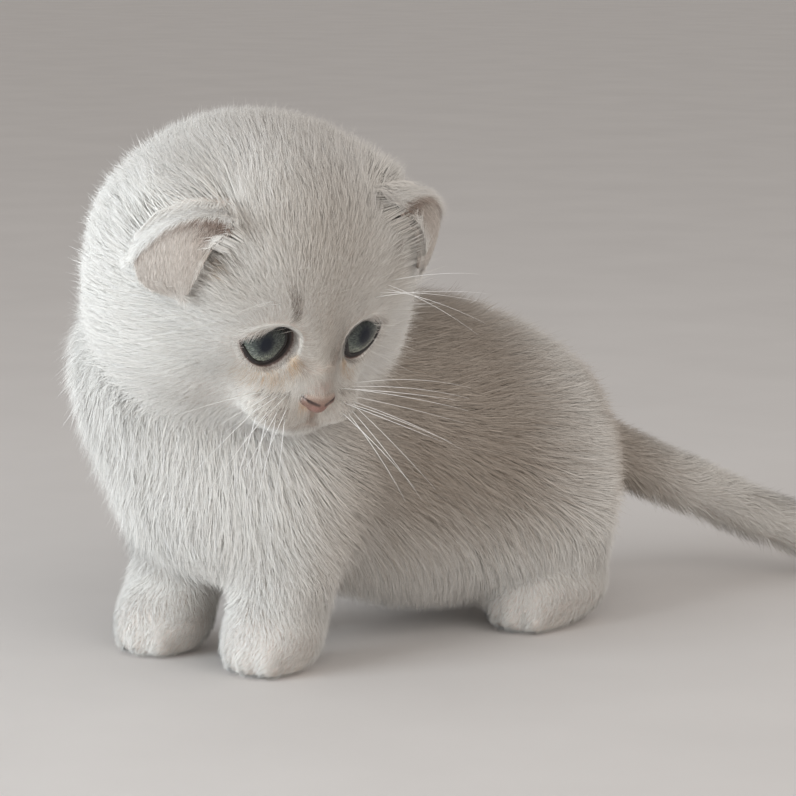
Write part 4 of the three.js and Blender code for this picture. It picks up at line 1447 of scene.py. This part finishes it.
def ear_cover(side):
    """Places on the skin round an ear, with a waist, a tip and a share of hairs that lean, for each."""
    u, v = span(-1.25, 1.08, 50, -2.5, -0.75, 40)
    tip_v = np.minimum(v + 1.25, -0.16 - 0.16 * smooth_step(-1, 0.2, u))
    tip_level = EAR_FOLD_HEIGHT * (0.78 + 0.22 * (1 - u * u)) * np.clip((tip_v + 2.1) / 1.9, 0, 1) + 0.2
    waist_v = 0.5 * (v + tip_v)
    waist_level = np.maximum(0.5 * (tip_level + CROWN_SKIN) + 1.2, ear_height(u, waist_v) + 0.2)
    rows = [(
        ear_surface(side, u, v, 0, CROWN_SKIN),
        ear_surface(side, u, waist_v, 0, waist_level),
        ear_surface(side, u * 0.97, tip_v, 0, tip_level),
        smooth_step(-2.5, -1.7, v),
    )]
    u, v = span(1.02, 1.35, 12, -0.4, 0.15, 16)
    rows.append((
        ear_surface(side, u, v, 0, FRONT_SKIN),
        ear_surface(side, np.full(len(u), 0.98), v + 0.05, 0.5),
        ear_surface(side, u - 0.28, v + 0.12, 0.2),
        np.full(len(u), 0.5),
    ))
    if side > 0:
        u, v = span(1.03, 1.3, 10, 0.15, 0.8, 26)
        rows.append((
            ear_surface(side, u, v, 0, FRONT_SKIN),
            ear_surface(side, np.full(len(u), 0.99), v - 0.08, 0.6),
            ear_surface(side, u - 0.5, v - 0.28, 0.35),
            np.full(len(u), 0.6),
        ))
    return [np.concatenate(parts) for parts in zip(*rows)]


ear_covers = {side: ear_cover(side) for side in (1, -1)}
COVER_REACH = 1.2
EAR_REACH = 30
COVER_SPREAD = [1, 0.8, 0.6]


def lean_over_ear(side, h, bent, waists, tips):
    marks, waist_at, tip_at, hold = ear_covers[side]
    close = np.flatnonzero(np.linalg.norm(h - marks.mean(0), axis=1) < EAR_REACH)
    if not len(close):
        return
    nearest = nearest_of(h[close], marks)
    offset = h[close] - marks[nearest]
    leans = (np.linalg.norm(offset, axis=1) < COVER_REACH) & (rng.random(len(close)) < hold[nearest])
    chosen, nearest, offset = close[leans], nearest[leans], offset[leans] * 0.6
    bent[chosen] = True
    waists[chosen] = head_to_body(waist_at[nearest] + offset)
    spread = rng.normal(size=offset.shape) * COVER_SPREAD
    tips[chosen] = head_to_body(tip_at[nearest] + offset + spread)


# %% [markdown]
# ## Where hair may go
# Nose, lips and eyes stay bare, and a tip never ends in an eye or in the nose. Elsewhere a tip comes to
# rest at a level of the body's field, so the coat keeps the frame's outline, and under the belly it
# hangs a little lower.

# %% Roots and tips in their places
LID_CLEAR = 0.9
NOSE_CLEAR = 0.12
GROOVE_CLEAR = 0.05
NOSE_TOP = -13.2
BELLY_FRINGE = 5.5


def is_bare(roots, h):
    bare = (nose_field(h) < NOSE_CLEAR) | (field_at(groove_shapes, h) < GROOVE_CLEAR)
    for side in (1, -1):
        bare |= outside_opening(roots, side)[0] < LID_CLEAR
    return bare


def rest_on(places, ways, levels):
    """Moves places along the slope until they lie at those levels of the body's field."""
    for _ in range(2):
        places = places + ways * (levels - body_at(places))[:, None]
        ways = unit(slope_at(places))
    return places


def hang_low(tips, roots, normals, share):
    """Lets the hair under the belly hang lower than the coat is deep."""
    along_belly = smooth_step(-48, -34, roots[:, 1]) * smooth_step(40, 26, roots[:, 1]) * (1 - share)
    hang = smooth_step(0.15, -0.5, normals[:, 2]) * smooth_step(6, 12, roots[:, 2]) * along_belly
    return tips + hang[:, None] * [0, 0.6, -BELLY_FRINGE]


def keep_clear(tips, roots, h):
    """Shortens hairs that end in an eye or in the nose, and lifts those from above the nose on to it."""
    for side in (1, -1):
        covers = outside_opening(tips, side)[0] < 0.2
        tips[covers] = roots[covers] + (tips - roots)[covers] * 0.3
    into_nose = nose_field(body_to_head(tips)) < 0.15
    above = into_nose & (h[:, 2] > NOSE_TOP)
    kept = np.where(above, 0.75, 0.4)[into_nose, None]
    tips[into_nose] = roots[into_nose] + (tips - roots)[into_nose] * kept
    over_nose = body_to_head(tips[above])
    over_nose[:, 1] -= np.maximum(0.2 - nose_field(over_nose), 0)
    tips[above] = head_to_body(over_nose)


# %% Growing a region
BENT_SHARE = 0.05
STRAY_SHARE = 0.06
LOCK = 10
ROOT_SINK = 0.25
LEAST_DEPTH = 0.6


def hair_colours(base, tip_base, shade_spread):
    """Colours at root and tip from the coat's there, changed from hair to hair, with dark ticking; the root
    is darkened as painted shade and the tip lightened as painted light.
    """
    count = len(base)
    shade = np.exp(shade_spread * rng.normal(size=(count, 1)))
    dark = np.clip(1 - base.mean(1) / WHITE.mean(), 0, 0.6)
    ticked = (rng.random(count) < 0.9 * dark)[:, None]
    # Painted light and shade: tips are brightened here and roots darkened below, as light on the coat's
    # surface and shade deep in it.
    tip = np.clip(tip_base * shade * 1.07, 0, 0.93)
    tip = np.where(ticked, tip * [0.62, 0.58, 0.55], tip)
    return base * shade * [0.91, 0.90, 0.885], tip


def grow(name, chosen):
    """Grows one piece of the coat on the chosen faces of the skin."""
    quads = skin_quads[chosen]
    used, index = np.unique(quads, return_inverse=True)
    vertices, quads = skin_vertices[used], index.reshape(quads.shape)
    roots, on_flat = scatter(vertices, quads, unwrap(vertices, quads), density_at)
    h = body_to_head(roots)
    bare = is_bare(roots, h)
    roots, on_flat, h = roots[~bare], on_flat[~bare], h[~bare]
    count = len(roots)
    share = head_share_at(roots)
    low = smooth_step(24, 10, roots[:, 2])
    normals = unit(slope_at(roots))
    depth = np.maximum(-body_at(roots), LEAST_DEPTH)
    lie = lie_at(roots, normals)
    lie = unit(lie + np.cross(normals, lie) * (0.17 * rng.normal(size=(count, 1))))
    length = (1.5 + 1.45 * depth) * share + (2.2 + 1.5 * depth) * (1 - 0.35 * low) * (1 - share)
    length = length * np.exp(0.17 * rng.normal(size=count))
    stray = rng.random(count) < STRAY_SHARE
    rise = np.clip(rng.normal(0.98, 0.15, count), 0.5, 1.4) * np.where(stray, 1.3, 1)
    start = roots + lie * (length * 0.97)[:, None]
    tips = rest_on(start, unit(slope_at(start)), -depth * (1 - rise))
    tips = hang_low(tips, roots, normals, share)
    near_face = smooth_step(34, 24, from_nose(h)) * share
    pull = 0.24 * (1 - 0.8 * near_face) * share + 0.15 * (1 - share)
    tips = draw_together(tips, LOCK, np.where(stray, 0.0, pull))
    keep_clear(tips, roots, h)
    width = (0.125 + 0.020 * depth) * share + (0.135 + 0.018 * depth) * (1 - share)
    width = width * np.exp(0.2 * rng.normal(size=count))
    chance = rng.random(count)
    base, tip_base = (face_marks(places, coat_colour(places), chance) for places in (roots, tips))
    root_colour, tip_colour = hair_colours(base, tip_base, 0.05)
    sunk = roots - normals * ROOT_SINK
    bent = (rng.random(count) < BENT_SHARE * (1 - near_face)) & ~stray
    waists = roots * 0.5 + tips * 0.5 + normals * (0.22 * depth)[:, None]
    for side in (1, -1):
        lean_over_ear(side, h, bent, waists, tips)
    softness = SOFTNESS * share + TRUNK_SOFTNESS * (1 - share)
    straight = ~bent
    groups = [spikes([sunk[straight], tips[straight]], normals[straight], width[straight],
                     [root_colour[straight], tip_colour[straight]], on_flat[straight], softness[straight])]
    if bent.any():
        middle = (root_colour[bent] + tip_colour[bent]) / 2
        groups.append(spikes([sunk[bent], waists[bent], tips[bent]], normals[bent], width[bent] * 1.1,
                             [root_colour[bent], middle, tip_colour[bent]], on_flat[bent], softness[bent]))
    return make_coat(name, groups, coat_mat, "coat")


coat_faces = sum(grow(name, chosen) for name, chosen in REGIONS.items())

# %% [markdown]
# ## Short hair on lids and ears
# Lids and ears stand proud of the body's field, so their hair follows their own surface instead: it
# starts on the sheet and leans along it. Over the upper lids the hairs sweep outwards and hang a
# little over the eye. The ears wear very short velvet that runs from the root over the fold to the
# tip, browner on the fold, with a fringe of longer pale hairs along the front edge and the tip.

# %% Hair that follows its own sheet
def sheet_normals(vertices, quads):
    normals = np.zeros_like(vertices)
    a, b, c, d = (vertices[quads[:, n]] for n in range(4))
    for n in range(4):
        np.add.at(normals, quads[:, n], np.cross(c - a, d - b))
    return unit(normals)


def sheet_hair(roots, normals, lie, length, rise, width, base, on_flat, shade_spread=0.1):
    count = len(roots)
    length = length * np.exp(0.2 * rng.normal(size=count))
    lie = unit(lie + np.cross(normals, lie) * (0.22 * rng.normal(size=(count, 1))))
    tips = roots + lie * length[:, None] + normals * (rise * rng.uniform(0.6, 1.3, count))[:, None]
    root_colour, tip_colour = hair_colours(base, base, shade_spread)
    width = width * np.exp(0.2 * rng.normal(size=count))
    return spikes([roots - normals * 0.12, tips], normals, width, [root_colour, tip_colour], on_flat)


def evenly(hairs):
    """A density for scatter that is the same everywhere."""
    return lambda places, facing: np.full(len(places), hairs)


# %% Hair on the lids
LID_HAIR_ROWS = slice(5, 10)
LID_HAIRS = 24.0
for name, side in (("left", 1), ("right", -1)):
    points, faces = lids[side]
    row_of = np.arange(len(faces)) // LID_SPOKES
    faces = faces[(row_of >= LID_HAIR_ROWS.start) & (row_of < LID_HAIR_ROWS.stop - 1)]
    used, index = np.unique(faces, return_inverse=True)
    patch, quads = points[used], index.reshape(faces.shape)
    roots, on_flat = scatter(patch, quads, unwrap(patch, quads), evenly(LID_HAIRS))
    normals = sheet_normals(patch, quads)[nearest_of(roots, patch)]
    out, local = outside_opening(roots, side)
    around = unit(local[:, :2])
    upper = smooth_step(-0.1, 0.5, around[:, 1]) * smooth_step(-1.0, 0.3, around[:, 0])
    way = np.column_stack([around, np.zeros(len(roots))])
    over_edge = upper * smooth_step(1.6, 0.6, out)
    way = mix(way, [0.85, -0.30, 0.1], 0.8 * upper)
    way = mix(way, [0.58, -0.76, 0.25], 0.95 * over_edge)
    way = unit(way @ eye_axes(side).T)
    lie = unit(mix(flat_on(way, normals), way, 0.75 * over_edge))
    base = face_marks(roots, coat_colour(roots), rng.random(len(roots)))
    base = toward(base, BROWN, 0.55 * over_edge * (rng.random(len(roots)) < 0.35))
    base = toward(base, DARK, 0.7 * smooth_step(1.1, 0.3, out) * (1 - 0.8 * upper))
    length = 1.15 + 0.65 * upper + (0.6 if side > 0 else 0.8) * over_edge + 0.25 * out
    hair = sheet_hair(roots, normals, lie, length, 0.40 + 0.2 * upper, 0.12, base, on_flat)
    coat_faces += make_coat("lid_hair_" + name, [hair], coat_mat, "coat")

# %% Velvet on the ears
EAR_HAIRS = 12.0
for name, side in (("left", 1), ("right", -1)):
    points, furred = ears[side]
    on_top = points[:len(points) // 2]
    roots, on_flat = scatter(on_top, furred, unwrap(on_top, furred), evenly(EAR_HAIRS))
    nearest = nearest_of(roots, on_top)
    u, v, normals = ear_u[nearest], ear_v[nearest], sheet_normals(on_top, furred)[nearest]
    ahead = np.minimum(nearest + EAR_ACROSS + 1, len(on_top) - 1)
    behind = np.maximum(nearest - EAR_ACROSS - 1, 0)
    lie = flat_on(on_top[ahead] - on_top[behind], normals)
    fringe = smooth_step(0.72, 1.0, np.maximum(u * (v > 0.35), v))
    behind_fold = smooth_step(-0.1, -0.5, v)
    normals = unit(mix(normals, unit(slope_at(roots)), 0.85 * behind_fold))
    length = 2.2 + 2.6 * fringe + 2.0 * behind_fold
    base = toward(ear_colour(u, v), WHITE, 0.7 * fringe)
    corner = np.exp(-((v + 0.1) / 0.24) ** 2 - ((u - 0.8) / 0.4) ** 2)
    base = toward(base, DARK, 0.75 * (rng.random(len(u)) < 0.8 * corner))
    rise = 0.7 - 0.3 * fringe + 0.3 * behind_fold
    hair = sheet_hair(roots, normals, lie, length, rise, 0.15, base, on_flat)
    coat_faces += make_coat("ear_fur_" + name, [hair], coat_mat, "ear_coat")
print("coat triangles in all:", coat_faces)

# %% [markdown]
# ## Whiskers
# Whiskers are single stiff hairs, thick at the root and fine as silk at the tip. They grow in rows
# on the pads of the muzzle, each from a small dark dot, and a few grow over the eyes.

# %% Whisker shapes
def whisker(root, way, droop, length, thick, sides=5, steps=12):
    """A tapered, bending hair as closed rings, in the head's frame."""
    way, droop = unit(np.array(way, float)), np.array(droop, float)
    s = np.linspace(0, 1, steps + 1)[:, None]
    line = np.array(root) + length * (way * s + droop * s ** 2)
    along = unit(np.gradient(line, axis=0))
    side = unit(np.cross(along, [0.31, 0.2, 0.93]))
    up = np.cross(side, along)
    angles = 2 * pi * np.arange(sides) / sides
    radius = thick / 2 * (1 - 0.88 * s)
    rings = [
        line[n] + radius[n] * (np.cos(a) * side[n] + np.sin(a) * up[n])
        for n in range(steps + 1) for a in angles
    ]
    ends = [line[0], line[-1] + along[-1] * 0.1]
    faces = []
    for n in range(steps):
        for k in range(sides):
            a, b = n * sides + k, n * sides + (k + 1) % sides
            faces += [(a, a + sides, b + sides), (a, b + sides, b)]
    first, last = len(rings), len(rings) + 1
    for k in range(sides):
        faces.append((first, k, (k + 1) % sides))
        faces.append((last, steps * sides + (k + 1) % sides, steps * sides + k))
    return np.array(rings + ends), np.array(faces)


def join_parts(parts):
    vertices, faces, start = [], [], 0
    for points, some in parts:
        vertices.append(points)
        faces.append(some + start)
        start += len(points)
    return np.concatenate(vertices), np.concatenate(faces)


# %% Whiskers on pads and brows
whisker_mat, shader, add, link = material("whisker")
streak = add("TexNoise", Vector=add("TexCoord").outputs["Object"], Scale=300.0, Detail=1.0)
link(ramp(add, streak.outputs["Fac"], [(0.3, (0.80, 0.79, 0.77)), (0.7, (0.92, 0.92, 0.91))]), "Base Color")
shader.inputs["Roughness"].default_value = 0.35

WHISKER_WAYS = {
    1: [(0.86, -0.46, 0.14), (0.80, -0.58, -0.14), (0.58, -0.66, -0.48)],
    -1: [(-0.80, -0.36, -0.14), (-0.62, -0.42, -0.55), (-0.28, -0.50, -0.80)],
}
BROW_WAYS = [
    (0.80, -0.48, 0.38), (0.86, -0.42, 0.20), (0.76, -0.60, 0.06), (0.62, -0.70, -0.04), (0.62, -0.55, 0.46),
]
PAD_WHISKER = 0.20
BROW_WHISKER = 0.15
parts = []
for side in (1, -1):
    for row in range(PAD_ROWS):
        for column in range(PAD_COLUMNS):
            root = whisker_spots[pad_places.index(pad_place(side, row, column))]
            way = np.array(WHISKER_WAYS[side][row]) + [0, 0.15 * (column - 1), 0] + 0.05 * rng.normal(size=3)
            length = (30 - 2.0 * row if side > 0 else 20 - row) + 1.5 * column + rng.normal()
            droop = [0, 0.05, -0.13 + 0.05 * rng.normal()]
            parts.append(whisker(root, way, droop, length, PAD_WHISKER))
    for n, way in enumerate(BROW_WAYS if side > 0 else BROW_WAYS[:2]):
        root = over_head([[side * (12.5 + 1.7 * n), -31.5, 9.0 + 0.9 * n]], -0.4)[0]
        length = (31 if side > 0 else 17) - 1.5 * n
        way = np.array(way) * [side, 1, 1]
        parts.append(whisker(root, way, [0.05 * side, 0.12, -0.22], length, BROW_WHISKER))
points, faces = join_parts(parts)
whiskers = make_mesh("whiskers", head_to_body(points), faces)
finish_piece(whiskers, whisker_mat, "coat")
print("whiskers:", len(parts), "faces:", len(whiskers.data.polygons))
